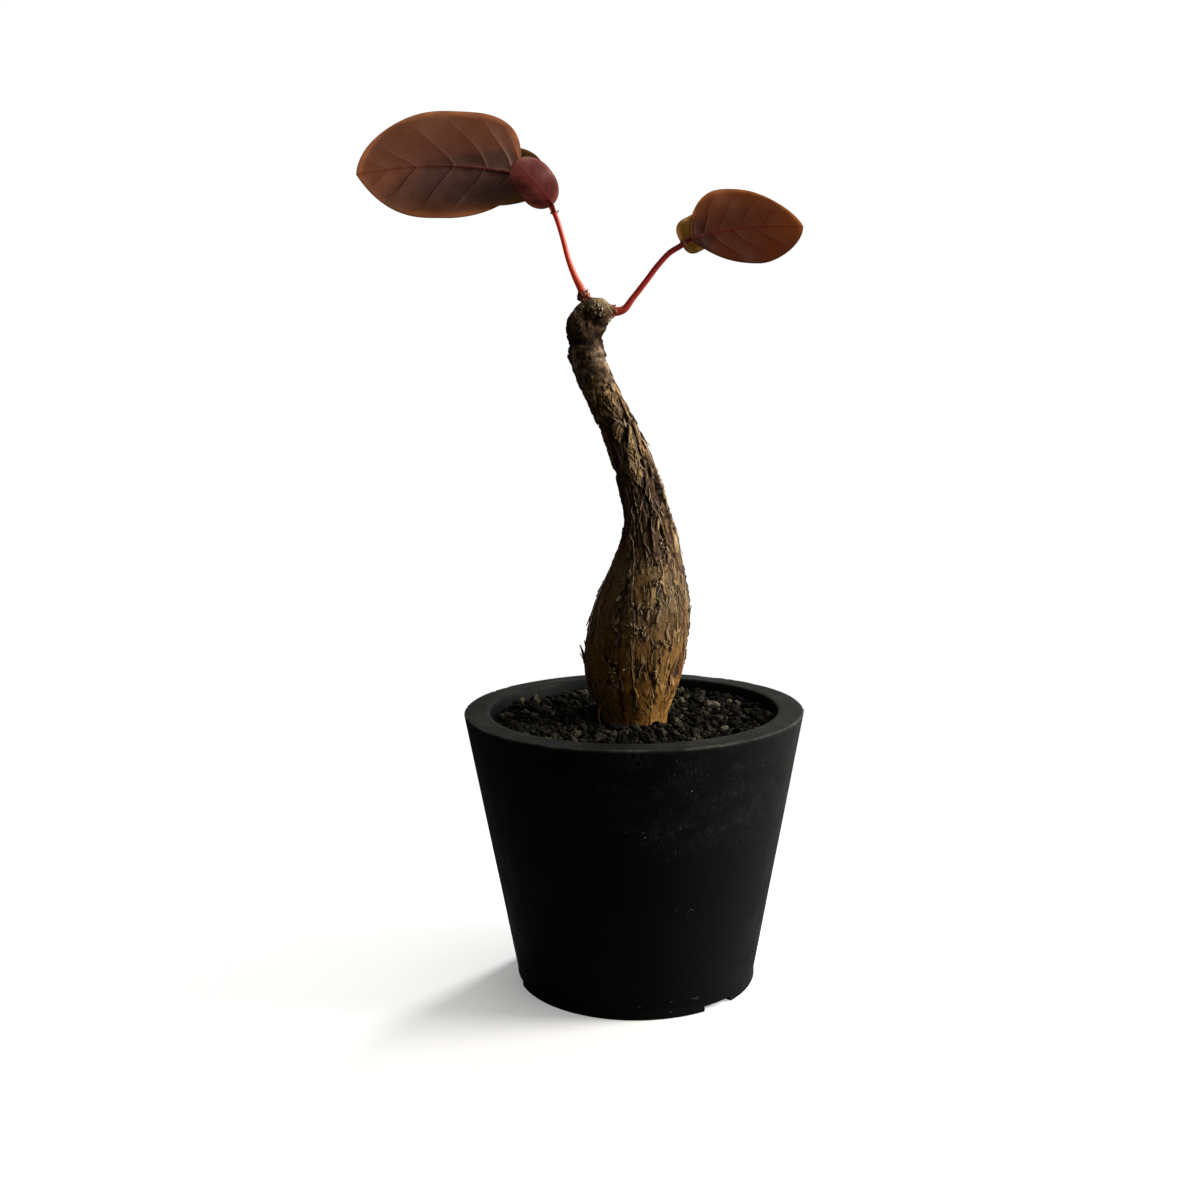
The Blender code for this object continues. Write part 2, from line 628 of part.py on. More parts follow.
def bark_flakes(collection):
    draw = random.Random(SEED + 1)
    flakes = []
    for i in range(FLAKES):
        angle = math.tau * (i * FLAKE_TURN + draw.uniform(-FLAKE_SCATTER, FLAKE_SCATTER))
        low, high = FLAKE_HEIGHTS
        z = low + (high - low) * (i + draw.uniform(0.0, 1.0)) / FLAKES
        narrow = NARROW_SHARE if z > FLAKES_NARROW_ABOVE else 1.0
        length = draw.uniform(*FLAKE_LENGTHS)
        size = (draw.uniform(*FLAKE_WIDTHS) * narrow, FLAKE_THICKNESS, length)
        way = draw.choice((-1, 1)) if z > FLAKES_POINT_UP_BELOW else 1
        flakes.append(bark_flake(f"flake_{i}", angle, z, size, draw.uniform(*FLAKE_TILTS), way, collection))
    for i, (degrees, height, length, width, tilt, way) in enumerate(MARKED_FLAKES):
        size = (width * MM, FLAKE_THICKNESS, length * MM)
        angle = math.radians(degrees)
        flakes.append(bark_flake(f"marked_{i}", angle, height * MM, size, tilt, way, collection))
    return flakes


def bud_scales(name, points, collection):
    """Pointed scales in a collar round the foot of a branchlet."""
    foot, along = mm(*points[1]), mm(*points[1]) - mm(*points[0])
    along.normalize()
    side = along.cross(Vector((0.0, 1.0, 0.0))).normalized()
    scales = []
    for i in range(BUD_SCALES):
        outward = Matrix.Rotation(math.tau * i / BUD_SCALES, 3, along) @ side
        size = (BUD_SCALE_WIDTH, BUD_SCALE_THICKNESS, BUD_SCALE_LENGTHS[i % 3])
        sink = BUD_SCALE_SINK + BUD_SCALE_STAGGER * (i % 2)
        place = foot - along * sink + outward * BUD_SCALE_CIRCLE
        scales.append(spike(f"{name}_{i}", place, along, outward, size, BUD_SCALE_TILT, collection))
    return scales


def socket_cutter(name, points, radii, cutters):
    """The plain hole that a branchlet's foot stands in."""
    foot, along = mm(*points[0]), (mm(*points[1]) - mm(*points[0])).normalized()
    radius = max(radii[:2]) * MM + GAP
    return cylinder(name, foot - along * GAP, foot + along * SOCKET_REACH, radius, cutters, 12)


def make_caudex(root, collection, cutters):
    caudex = caudex_body(collection)
    pieces = [head_knob(i, knob, collection) for i, knob in enumerate(HEAD_KNOBS)]
    pieces += bark_flakes(collection)
    pieces += bud_scales("left_scale", LEFT_BRANCHLET, collection)
    pieces += bud_scales("right_scale", RIGHT_BRANCHLET, collection)
    fuse(caudex, pieces)
    cut(caudex, socket_cutter("left_socket", LEFT_BRANCHLET, LEFT_RADII, cutters))
    cut(caudex, socket_cutter("right_socket", RIGHT_BRANCHLET, RIGHT_RADII, cutters))
    finish_node(caudex, root, new_material("bark", (0.115, 0.072, 0.042), 0.9))


def make_soil(root, collection, cutters):
    soil = soil_body(collection)
    fuse(soil, scattered_stones(collection))
    cut(soil, planting_hole(cutters))
    finish_node(soil, root, new_material("volcanic grit", (0.022, 0.019, 0.017), 0.95))


def smooth_points(points, steps):
    """A finer list of points on a smooth curve through a few, in metres."""
    stations = [(i, *point) for i, point in enumerate(points)]
    last = len(points) - 1
    return [Vector(between(stations, last * i / steps)) * MM for i in range(steps + 1)]


def make_branchlet(name, points, radii, places, colour, root, collection):
    """A thin bent stem with stipules where its leaves leave it."""
    steps = 3 * (len(points) - 1)
    stations = list(enumerate(radii))
    thickness = [between(stations, (len(radii) - 1) * i / steps)[0] * MM for i in range(steps + 1)]
    stem = tube(name, smooth_points(points, steps), thickness, collection, BRANCHLET_BEVEL_STEPS)
    stipules = [
        spike(f"{name}_stipule_{i}", mm(*place), Vector(along), Vector(outward), STIPULE_SIZE, STIPULE_TILT,
              collection)
        for i, (place, along, outward) in enumerate(places)
    ]
    fuse(stem, stipules)
    finish_node(stem, root, new_material(name + " skin", colour, 0.45), 50)


def half_width(half, s):
    """The half width of a blade at a place along its midrib, from 0 at the base to 1 at the tip."""
    if s < half.widest:
        share = (1 - ((half.widest - s) / half.widest) ** half.base_power) ** half.base_root
    else:
        share = (1 - ((s - half.widest) / (1 - half.widest)) ** half.tip_power) ** half.tip_root
    return half.width * MM * share


def blade_ends(half, share):
    """The two places along the midrib where a half blade has this share of its greatest width."""
    base = (1 - share ** (1 / half.base_root)) ** (1 / half.base_power)
    tip = (1 - share ** (1 / half.tip_root)) ** (1 / half.tip_power)
    return half.widest * (1 - base), half.widest + (1 - half.widest) * tip


def blade_place(leaf, u, t):
    """The place along the midrib and the reach to the side of a point of the blade's grid.

    u runs from the base edge to the tip edge, which both follow the outline, and t from -1 at the lower
    edge to 1 at the upper.
    """
    half = leaf.upper if t > 0 else leaf.lower
    first, last = blade_ends(half, END_SHARE * abs(t))
    edge_first, edge_last = blade_ends(half, END_SHARE)
    reach = t * half_width(half, edge_first + (edge_last - edge_first) * u)
    return first + (last - first) * u, reach


def leaf_point(leaf, u, t):
    """A point of a blade in space, from its place in the blade's grid."""
    base, tip = mm(*leaf.base), mm(*leaf.tip)
    chord = (tip - base) * Vector((1.0, 0.0, 1.0))
    across = Vector((-chord.z, 0.0, chord.x)).normalized()
    if across.z < 0:
        across.negate()
    half = leaf.upper if t > 0 else leaf.lower
    s, reach = blade_place(leaf, u, t)
    bulge = 4 * s * (1 - s)
    point = base.lerp(tip, s) + across * (leaf.bow * MM * bulge + reach)
    share = reach / (half.width * MM)
    sweep = VEIN_SWEEP * (VEIN_STRAIGHTNESS * abs(t) + (1 - VEIN_STRAIGHTNESS) * t * t)
    fold = math.cos(math.tau * VEIN_PAIRS * (s - sweep)) * min(abs(share) / VEIN_FLAT, 1.0)
    wave = math.sin(math.tau * (EDGE_WAVES * s + EDGE_WAVE_SLANT * t)) * share * share
    point.y += leaf.lean * reach + leaf.cup * MM * share * share + leaf.arch * MM * bulge
    point.y += leaf.under * VEIN_FOLD * fold + EDGE_WAVE * wave
    return point


def make_leaf(leaf, root, collection):
    """A thin arched blade, with its petiole and midrib standing out of its underside."""
    bm = bmesh.new()
    bmesh.ops.create_grid(bm, x_segments=leaf.cells[0], y_segments=leaf.cells[1], size=1.0)
    for vert in bm.verts:
        vert.co = leaf_point(leaf, (vert.co.x + 1) / 2, vert.co.y)
    bmesh.ops.triangulate(bm, faces=bm.faces[:])
    blade = object_from(bm, leaf.name, collection)
    thicken = blade.modifiers.new("thickness", "SOLIDIFY")
    thicken.thickness = BLADE_THICKNESS
    thicken.offset = 0.0
    apply_modifiers(blade)
    below = Vector((0.0, leaf.under * MIDRIB_OFFSET, 0.0))
    points = [mm(*point) for point in leaf.petiole]
    radii = [leaf.petiole_radius * MM] * len(points)
    for i in range(MIDRIB_POINTS):
        share = i / (MIDRIB_POINTS - 1)
        points.append(leaf_point(leaf, MIDRIB_START + MIDRIB_REACH * share, 0.0) + below)
        radii.append(leaf.petiole_radius * (1 - MIDRIB_TAPER * share) * MM)
    fuse(blade, [tube(leaf.name + " midrib", points, radii, collection, 1)])
    finish_node(blade, root, new_material(leaf.name + " blade", leaf.colour, 0.5), 50)


def centre_on_origin(root, collection):
    """Moves the root so that the whole object's box is centred on the origin in X and Y."""
    bpy.context.view_layer.update()
    graph = bpy.context.evaluated_depsgraph_get()
    corners = [
        obj.matrix_world @ Vector(corner)
        for obj in collection.objects
        if obj.type == "MESH"
        for corner in obj.evaluated_get(graph).bound_box
    ]
    for axis in (0, 1):
        ends = [corner[axis] for corner in corners]
        root.location[axis] -= (min(ends) + max(ends)) / 2


def main():
    clear_scene()
    collection = new_collection("potted phyllanthus")
    cutters = new_collection("cutters")
    root = bpy.data.objects.new("root", None)
    collection.objects.link(root)
    make_pot(root, collection, cutters)
    make_soil(root, collection, cutters)
    make_caudex(root, collection, cutters)
    left, right = BRANCHLET_COLOURS
    make_branchlet(
        "branchlet_left", LEFT_BRANCHLET, LEFT_RADII, LEFT_STIPULES, left, root, collection
    )
    make_branchlet(
        "branchlet_right", RIGHT_BRANCHLET, RIGHT_RADII, RIGHT_STIPULES, right, root, collection
    )
    for leaf in LEAVES:
        make_leaf(leaf, root, collection)
    for cutter in cutters.objects:
        cutter.parent = root
    centre_on_origin(root, collection)


main()
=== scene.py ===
"""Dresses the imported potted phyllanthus: black pot, dark grit, flaking caudex, red branchlets, thin leaves.

Lengths are in millimetres about the pot's axis, with +Z up and +Y away from the camera. mesh_piece turns
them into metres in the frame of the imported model.
"""

import math
import random
from collections import defaultdict, namedtuple
from itertools import product

import bmesh
import bpy
import numpy as np
from mathutils import Matrix, Vector, noise


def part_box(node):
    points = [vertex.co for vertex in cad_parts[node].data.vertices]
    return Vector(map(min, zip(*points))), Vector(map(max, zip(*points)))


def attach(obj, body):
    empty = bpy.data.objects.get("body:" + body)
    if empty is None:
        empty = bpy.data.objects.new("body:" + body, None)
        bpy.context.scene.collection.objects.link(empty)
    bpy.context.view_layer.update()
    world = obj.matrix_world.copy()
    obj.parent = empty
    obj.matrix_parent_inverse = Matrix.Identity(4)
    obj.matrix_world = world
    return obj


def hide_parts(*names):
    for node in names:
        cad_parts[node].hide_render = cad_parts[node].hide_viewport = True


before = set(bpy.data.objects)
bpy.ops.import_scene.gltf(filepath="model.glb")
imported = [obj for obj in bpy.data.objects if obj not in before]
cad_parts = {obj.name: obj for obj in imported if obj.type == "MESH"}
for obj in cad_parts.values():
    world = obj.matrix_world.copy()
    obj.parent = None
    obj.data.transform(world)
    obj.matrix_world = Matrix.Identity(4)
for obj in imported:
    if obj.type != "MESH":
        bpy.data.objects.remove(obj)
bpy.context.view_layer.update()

MM = 0.001
SEED = 7
BODY = "root"
POT_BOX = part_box("pot")
AXIS = Vector(((POT_BOX[0].x + POT_BOX[1].x) / 2, (POT_BOX[0].y + POT_BOX[1].y) / 2, 0.0)) / MM

# Camera, fitted to the photograph
CAMERA_PLACE = Vector((-8.18, -351.7, 152.73))
CAMERA_PITCH = 0.1540
CAMERA_ROLL = 0.0129
CAMERA_LENS = 42.345
CAMERA_SENSOR = 36.0

# Light and floor, in metres
BRIGHT_SIDE = Vector((0.78, 0.30, 0.55))
FLOOR_RADIUS = 0.4
FLOOR_FADE = (-0.06, 0.18)

# Pot
POT_HEIGHT = 70.4
RIM_RADIUS = 43.0
RIM_INNER_RADIUS = 36.6
RIM_EDGE = 0.5
FOOT_RADIUS = 30.8
FOOT_WALL = 4.2
FOOT_BAND = 3.4
FOOT_BAND_STEP = 0.2
FOOT_EDGE = 0.3
FLOOR_LIFT = 2.2
FLOOR_THICKNESS = 3.0
FLOOR_TOP = FLOOR_LIFT + FLOOR_THICKNESS
LOW_WALL = 4.4
NOTCHES = 3
NOTCH_ANGLE = math.radians(-49.7)
NOTCH_WIDTH = 9.4
NOTCH_HEIGHT = 1.4
NOTCH_MIDDLES = [NOTCH_ANGLE + math.tau * i / NOTCHES for i in range(NOTCHES)]
NOTCH_HALF_ANGLE = NOTCH_WIDTH / 2 / FOOT_RADIUS
NOTCH_SLOPE = 0.0015  # half the step at a notch's side, in radians
DRAIN_HOLES = 4
DRAIN_RADIUS = 3.0
DRAIN_CIRCLE = 15.0
CENTRE_DRAIN_RADIUS = 4.5
DRAIN_SIDES = 48
POT_SIDES = 288
POT_CORE = 0.35  # radius at which the floor's section ends, near the axis
POT_STEP = 1.2  # longest step along the pot's section
# Specks on the pot's wall: angle in degrees, height, size
MARKS = (
    (-87.9, 48.7, 0.2),
    (-88.5, 49.9, 0.15),
    (-72.6, 59.7, 0.2),
    (-75.9, 1.7, 0.14),
    (-90.1, 3.7, 0.12),
)
# Colours of the plastic, of its rim, of dust on it and of a paler line along the rim's outer edge, and the
# heights of the haze and of its band
PLASTIC_TONES = ((0.0016, 0.0020, 0.0022, 1), (0.0026, 0.0031, 0.0032, 1))
RIM_TONES = ((0.0012, 0.0014, 0.0010, 1), (0.0050, 0.0055, 0.0042, 1))
HAZE_TONE = (104, 112, 106)
RIM_LINE_TONE = (78, 82, 75)
HAZE_FROM = (38.0, 56.0)
BAND_FROM = (46.0, 50.0)
BAND_TO = (55.0, 51.0)
FRONT_SPECKS = 90
SPECKS_ROUND = 60
# Scratches in the pot's wall, each a few places as angle in degrees and height, and how wide it is
SCRATCHES = (
    (((-71.6, 26.6), (-71.3, 27.9), (-70.4, 28.9), (-69.2, 28.9), (-68.3, 28.3)), 0.09),
    (((-66.8, 4.2), (-65.4, 4.6), (-64.2, 4.3), (-62.8, 4.5), (-61.6, 4.2)), 0.1),
    (((-64.0, 3.9), (-63.0, 4.0), (-62.0, 3.7)), 0.08),
    (((-76.6, 4.7), (-75.7, 4.5), (-75.0, 4.6)), 0.09),
    (((-76.8, 1.5), (-75.9, 1.9), (-75.0, 1.7)), 0.1),
    (((-91.0, 3.6), (-90.1, 3.8), (-89.2, 3.7)), 0.08),
)
# The small nib on the right of the rim's edge, and the flash beside a notch: angle in degrees, height, size
RIM_NIB = (-4.0, 69.7, 0.34)
FLASH = (-41.6, 0.9, 0.3)

# Soil
SOIL_LEVEL = 67.4
SOIL_GAP = 0.3
BED_CORE = 0.3  # radius of the bed's innermost rings
BED_SIDES = 96
BED_STEPS = 30
BED_DEPTH = 3.4  # how far the plain bed lies under the grit's surface
HOLLOW = Vector((-12.0, 6.5))
HOLLOW_RADIUS = 6.5
HOLLOW_DEPTH = 2.8
STEM_CLEARANCE = 9.3
# Three sizes of grit: radius from and to, how many throws, how many stay, detail, and how far they stand out
Grit = namedtuple("Grit", "name low high tries most detail above")
GRITS = (
    Grit("grit_coarse", 1.15, 2.3, 5000, 520, 3, 0.8),
    Grit("grit_medium", 0.6, 1.1, 9000, 1500, 2, 0.35),
    Grit("grit_fine", 0.22, 0.5, 12000, 3600, 1, 0.05),
)
LUMP_SHAPES = 24
# How pale grains are: the middle and the spread, the most, and how much darker they are in the hollow, partly
# painted shadow and partly dark debris
GRAIN_MIDDLE = 0.36
GRAIN_SPREAD = 0.22
GRAIN_MOST = 0.92
HOLLOW_SHADOW_AND_DEBRIS = 0.97
# Stones: X, Y, length, width, turn and how pale they are
STONES = (
    (20.6, 10.2, 4.4, 3.0, 0.2, 0.9),
    (-29.7, 17.8, 2.8, 2.2, 1.0, 0.8),
    (-25.9, 17.6, 2.4, 2.0, 0.4, 0.74),
    (11.0, -14.0, 3.6, 2.8, 2.2, 0.6),
    (-9.0, -21.0, 3.8, 3.0, 0.7, 0.5),
)

# Caudex: height, middle in X and in Y, and width in X
CAUDEX_STATIONS = (
    (30.0, 0.6, 0.4, 7.0),
    (46.0, 0.8, 0.3, 12.5),
    (60.0, 0.6, 0.0, 15.2),
    (68.0, 0.5, 0.0, 16.8),
    (72.2, 0.3, 0.0, 19.8),
    (77.0, -0.1, -0.2, 23.2),
    (84.0, 0.4, -0.4, 25.4),
    (90.0, 1.2, -0.4, 26.0),
    (96.5, 2.2, -0.3, 24.2),
    (104.6, 3.5, 0.2, 19.4),
    (112.7, 4.2, 0.8, 14.6),
    (120.7, 3.6, 1.4, 11.8),
    (132.7, 0.4, 2.2, 10.4),
    (144.6, -4.4, 2.4, 9.6),
    (152.5, -8.4, 2.0, 9.2),
    (158.3, -10.4, 1.5, 8.9),
    (162.6, -11.0, 1.0, 8.4),
    (167.0, -10.6, 0.6, 9.9),
    (170.0, -9.9, 0.3, 9.2),
    (172.0, -10.1, 0.2, 4.6),
    (172.9, -9.6, 0.0, 1.0),
)
CAUDEX_DEPTH_RATIO = 0.95
CAUDEX_SIDES = 240
CAUDEX_STEP = 0.27
CAUDEX_FOOT = 62.0
CAUDEX_CROWN = 172.9
ROUGH_RADIUS = 9.0  # radius of the stem from which its lumps stand up to their full height
# Rings round the neck: heights from and to, how far they fade in and out, and their pitch, relief and tilt
NECK_RINGS = (150.0, 162.0)
NECK_FADES = (6.0, 3.0)
NECK_RING_PITCH = 3.1
NECK_RING_RELIEF = 0.12
NECK_RING_TILT = 0.8
# Zones of the stem by height: where each starts, is full, fades and ends
TRUNK_ZONE = (104.0, 114.0, 147.0, 152.0)
NECK_ZONE = (149.0, 153.0, 160.0, 163.0)
COLLAR_ZONE = (160.7, 161.3, 162.5, 163.2)
HEAD_FROM = (161.0, 165.0)
# The calm patch on the left of the belly, in degrees and by height, and where nothing is strewn on it
CALM_ANGLES = (-176.0, -168.0, -134.0, -122.0)
CALM_ZONE = (76.0, 84.0, 108.0, 116.0)
BARE_HEIGHTS = (80.0, 112.0)
BARE_OF_FLAKES = (-172.0, -125.0)
BARE_OF_SEAMS = (-176.0, -122.0)
# How many flakes and seams are strewn by chance
CHANCE_FLAKES = 170
CHANCE_SEAMS = 90
# Layers of bark plates: size across and along, slant, how uneven, lifted, rolled and deeply parted
PlateLayer = namedtuple("PlateLayer", "width length slant level lift roll depth")
LONG_PLATES = PlateLayer(4.8, 34.0, 0.2, 0.3, 0.1, 0.42, 0.16)
SCALES = PlateLayer(3.1, 13.0, 0.5, 0.42, 0.26, 0.42, 0.2)
CHIPS = PlateLayer(1.2, 3.8, 0.4, 0.2, 0.16, 0.24, 0.1)
# Far apart parts of one noise, which push the edges of the plates about along X, Y and Z
PUSH_SHIFTS = (Vector((0.0, 0.0, 0.0)), Vector((31.4, 17.2, 5.9)), Vector((-12.7, 44.1, 23.3)))
# How strongly each layer of plates stands out on the belly, and the chips on the trunk and on neck and head
BELLY_LONG = 0.34
BELLY_SCALES = 0.14
BELLY_CHIPS = 0.06
TRUNK_CHIPS = 0.4
UPPER_CHIPS = 0.1
# Relief in millimetres: cracks, the lips beside them, the collar, fibres on belly and trunk, and fine grain
CRACK_DEPTH = 0.18
LIP_HEIGHT = 0.15
COLLAR_DEPTH = 0.45
BELLY_FIBRE = 0.02
TRUNK_FIBRE = 0.08
FINE_GRAIN = 0.04
# Two kinds of long cracks: how far apart, how long, how narrow
FISSURES = ((3.6, 22.0, 0.05), (1.9, 9.0, 0.075))
# Knobs of the head: middle in X, Y and Z, and radius
HEAD_KNOBS = (
    (-11.9, -1.0, 165.9, 4.0),
    (-8.1, -1.0, 169.1, 3.8),
    (-10.4, 3.0, 168.2, 3.5),
    (-12.6, 1.6, 158.4, 2.2),
    (-8.2, -1.4, 156.4, 2.3),
    (-8.7, -0.4, 165.8, 3.1),
)
# How much slimmer the stem is under the head's knobs
HEAD_WAIST = 0.8
# Dents and grooves of the head: angle in degrees, height, radius and depth
HEAD_DENTS = (
    (-64, 167.2, 1.4, 0.9),
    (-106, 170.4, 0.8, 0.7),
    (-101, 169.0, 0.7, 0.9),
    (-96, 167.6, 0.7, 0.9),
    (-91, 166.2, 0.7, 0.8),
    (-85, 164.8, 0.7, 0.6),
    (-150, 166.5, 1.2, 0.35),
    (-128, 163.8, 1.0, 0.35),
    (-40, 163.6, 1.0, 0.4),
)
# Ridges and cracks of the bark as lines from one angle and height to another
MARKED_RIDGES = (
    ((-143, 114.8), (-103, 101.3)),
    ((-107, 117.5), (-87, 107.7)),
    ((-170, 111.0), (-171, 94.0)),
    ((-96, 99.0), (-100, 84.0)),
)
MARKED_CRACKS = (
    ((-106, 78.0), (-113, 69.0)),
    ((-92, 79.0), (-92, 69.0)),
    ((-70, 81.0), (-61, 73.0)),
    ((-30, 98.0), (-24, 86.0)),
    ((-118, 104.0), (-112, 88.0)),
    ((-52, 108.0), (-44, 99.0)),
    ((-15, 112.0), (-10, 86.0)),
    ((-5, 110.0), (-3, 84.0)),
    ((-148, 104.0), (-152, 88.0)),
)
# Flakes that stand out of the outline: angle in degrees, height, length, width, tilt, way up
MARKED_FLAKES = (
    (-4, 93.0, 3.4, 2.2, 8, 1),
    (-4, 129.0, 3.6, 2.4, 9, -1),
    (6, 139.0, 3.0, 2.2, 8, -1),
    (182, 82.0, 2.6, 1.6, 24, 1),
    (186, 104.0, 4.0, 2.4, 6, -1),
    (174, 131.0, 3.2, 2.2, 7, 1),
    (-100, 116.0, 5.0, 3.0, 7, 1),
)
# Thin edges of peeling plates, partly painted highlight, with a dark gap of painted shade beside them: places
# as angle in degrees and height, then the side of the gap, 1 for the right as the camera sees it
SEAMS = (
    (((-125, 113.5), (-117, 109.0), (-111, 105.3), (-109, 102.4), (-104, 98.7)), 1),
    (((-101, 112.9), (-90, 111.0), (-85, 108.6), (-87, 107.2)), 1),
    (((-12, 112.0), (-10, 106.0), (-12, 99.0), (-13, 93.5), (-19, 88.0), (-24, 82.0)), 1),
    (((-100, 91.1), (-96, 87.1), (-94, 83.1), (-91, 79.9), (-87, 74.6), (-92, 71.8), (-95, 68.7)), -1),
    (((-78, 91.5), (-73, 88.0), (-73, 84.9), (-69, 82.8)), 1),
    (((-65, 86.8), (-61, 83.7), (-61, 80.1)), -1),
    (((-57, 103.4), (-54, 101.2), (-59, 97.9), (-62, 94.6)), 1),
    (((-45, 102.0), (-42, 99.0), (-39, 95.1)), 1),
    (((-155, 98.3), (-148, 94.1), (-141, 89.4), (-135, 84.5)), 1),
    (((-125, 74.2), (-130, 70.2), (-123, 68.2)), 1),
    (((-81, 84.5), (-84, 82.5), (-86, 80.4)), 1),
    (((-49, 79.2), (-40, 75.8), (-43, 73.7)), -1),
    (((-78, 100.1), (-71, 99.5), (-69, 96.7)), -1),
    (((-98, 123.6), (-109, 118.7), (-104, 113.8), (-92, 111.5), (-86, 109.2)), -1),
    (((-132, 115.2), (-123, 112.3), (-117, 109.1)), -1),
    (((-55, 143.6), (-54, 139.2), (-53, 135.2)), -1),
    (((-74, 134.3), (-70, 131.4), (-67, 128.4), (-79, 126.0), (-99, 122.6)), -1),
    (((-88, 138.8), (-87, 135.8), (-99, 133.4), (-94, 130.4), (-92, 128.5)), -1),
    (((-101, 144.2), (-87, 142.9), (-70, 141.9)), 1),
    (((-74, 147.3), (-65, 145.4), (-69, 143.2)), 1),
    (((-69, 125.0), (-69, 121.5), (-58, 119.5), (-64, 116.2)), 1),
    (((-64, 116.2), (-60, 112.7), (-50, 109.3)), 1),
    (((-22, 119.8), (-18, 115.2), (-14, 111.6)), 1),
    (((-30, 141.0), (-26, 138.0), (-28, 134.0)), 1),
    (((-36, 131.0), (-30, 127.5), (-26, 124.0)), 1),
    (((-143, 119.0), (-127, 123.5), (-120, 127.5), (-116, 130.4)), 1),
)
# The pale strip down the left of the belly, a painted highlight, and the torn dark edges on the right of the
# stem with their size, dark as painted shade
HIGHLIGHT_STRIP = ((-174, 111.0), (-172, 105.9), (-170, 99.4), (-168, 94.5), (-163, 89.7))
TORN_EDGES = (
    (((-5, 113.0), (-3, 106.0), (-4, 100.0), (-6, 94.0), (-9, 88.0), (-12, 82.0)), 0.42),
    (((-6, 142.0), (-3, 136.0), (-4, 132.0), (-3, 127.0)), 0.3),
    (((-6, 124.0), (-4, 119.0), (-6, 113.0)), 0.3),
    (((-10, 153.5), (-8, 149.0), (-6, 145.0)), 0.34),
)
# Crumbs of bark along the stem's sides and on its head: angle in degrees, heights from and to, how many,
# size, and whether they are pale
# The crumbs that are not pale are dark as painted shade, mostly along the stem's outline
CRUMB_LINES = (
    (-3, 142.0, 155.0, 24, 0.42, False),
    (2, 159.0, 162.8, 10, 0.46, False),
    (180, 157.5, 163.5, 12, 0.42, False),
    (182, 144.0, 153.0, 14, 0.4, False),
    (-2, 84.0, 112.0, 40, 0.36, False),
    (0, 112.0, 142.0, 36, 0.4, False),
    (180, 112.0, 143.0, 26, 0.34, False),
    (-60, 150.0, 154.0, 8, 0.4, False),
    (-20, 166.0, 171.0, 20, 0.3, True),
    (-60, 168.0, 171.6, 18, 0.3, True),
    (-120, 168.0, 171.0, 10, 0.26, True),
    (60, 165.0, 171.0, 16, 0.3, True),
)
# Sizes of the marked seams and of the painted highlight strip, and steps along a curl and along a loose
# strand
SEAM_SIZE = 0.16
HIGHLIGHT_STRIP_SIZE = 0.26
CURL_STEPS = 8
STRAND_STEPS = 16
# The fine root on the left of the stem's foot
FINE_ROOT = (
    (-7.4, -4.6, 72.6), (-8.4, -5.2, 71.8), (-8.9, -5.6, 70.4), (-8.8, -5.8, 68.8), (-8.4, -6.0, 67.4),
)
# The hooked spur on the left of the belly, and the torn strip of bark that it belongs to; the strip is dark
# as painted shade along the left outline
SPUR = (
    (-11.9, -0.6, 81.2), (-12.3, -0.6, 82.6), (-12.6, -0.6, 84.4), (-13.0, -0.6, 85.8), (-13.4, -0.6, 86.7),
)
SPUR_STRIP = (
    (-12.0, -0.8, 83.0), (-11.9, -0.9, 80.7), (-11.4, -1.0, 78.0), (-10.9, -1.0, 75.8), (-10.3, -1.0, 73.6),
)
# Curls of peeling bark: angle in degrees, height, how many and how far they scatter
CURLS = (
    (-90, 92.8, 16, 2.2),
    (-96, 98.0, 8, 2.2),
    (-62, 88.4, 9, 1.7),
    (-112, 82.2, 9, 2.6),
    (-66, 80.2, 9, 1.6),
    (-76, 104.0, 7, 1.8),
    (-75, 136.0, 5, 1.6),
    (-62, 112.0, 5, 1.6),
)
# Colours of the bark: places along a ramp from dark to pale, with 8-bit screen values, and the heights
# between which each comes in
GREY_BARK = ((0.32, 46, 27, 10), (0.45, 74, 52, 26), (0.56, 99, 78, 48), (0.68, 152, 134, 106))
GOLDEN_BELOW = (98.0, 80.0)
GOLDEN_ABOVE = (108.0, 118.0)
GOLDEN_BARK = ((0.32, 56, 32, 6), (0.44, 96, 63, 20), (0.54, 128, 90, 38), (0.68, 166, 134, 86))
FOOT_BELOW = (82.0, 70.0)
FOOT_BARK = ((0.32, 90, 52, 12), (0.44, 124, 82, 30), (0.54, 150, 108, 52), (0.68, 174, 142, 92))
OCHRE_ABOVE = (143.0, 146.0)
OCHRE_BARK = ((0.34, 42, 23, 7), (0.48, 92, 66, 34), (0.62, 166, 136, 92))
NECK_ABOVE = (150.0, 153.0)
NECK_BARK = ((0.34, 22, 9, 3), (0.45, 52, 34, 19), (0.53, 88, 68, 50), (0.62, 150, 128, 106))
HEAD_ABOVE = (161.0, 163.0)
HEAD_BARK = ((0.34, 26, 9, 1), (0.46, 46, 25, 6), (0.56, 66, 42, 16), (0.7, 116, 90, 56))
# The head's top is paler as painted highlight where the light falls on it
CROWN_ABOVE = (169.0, 172.0)
CROWN_HIGHLIGHT = (166, 148, 112)
BRIGHT_ABOVE = (108.0, 116.0)
BRIGHT_TONE = (156, 130, 98)

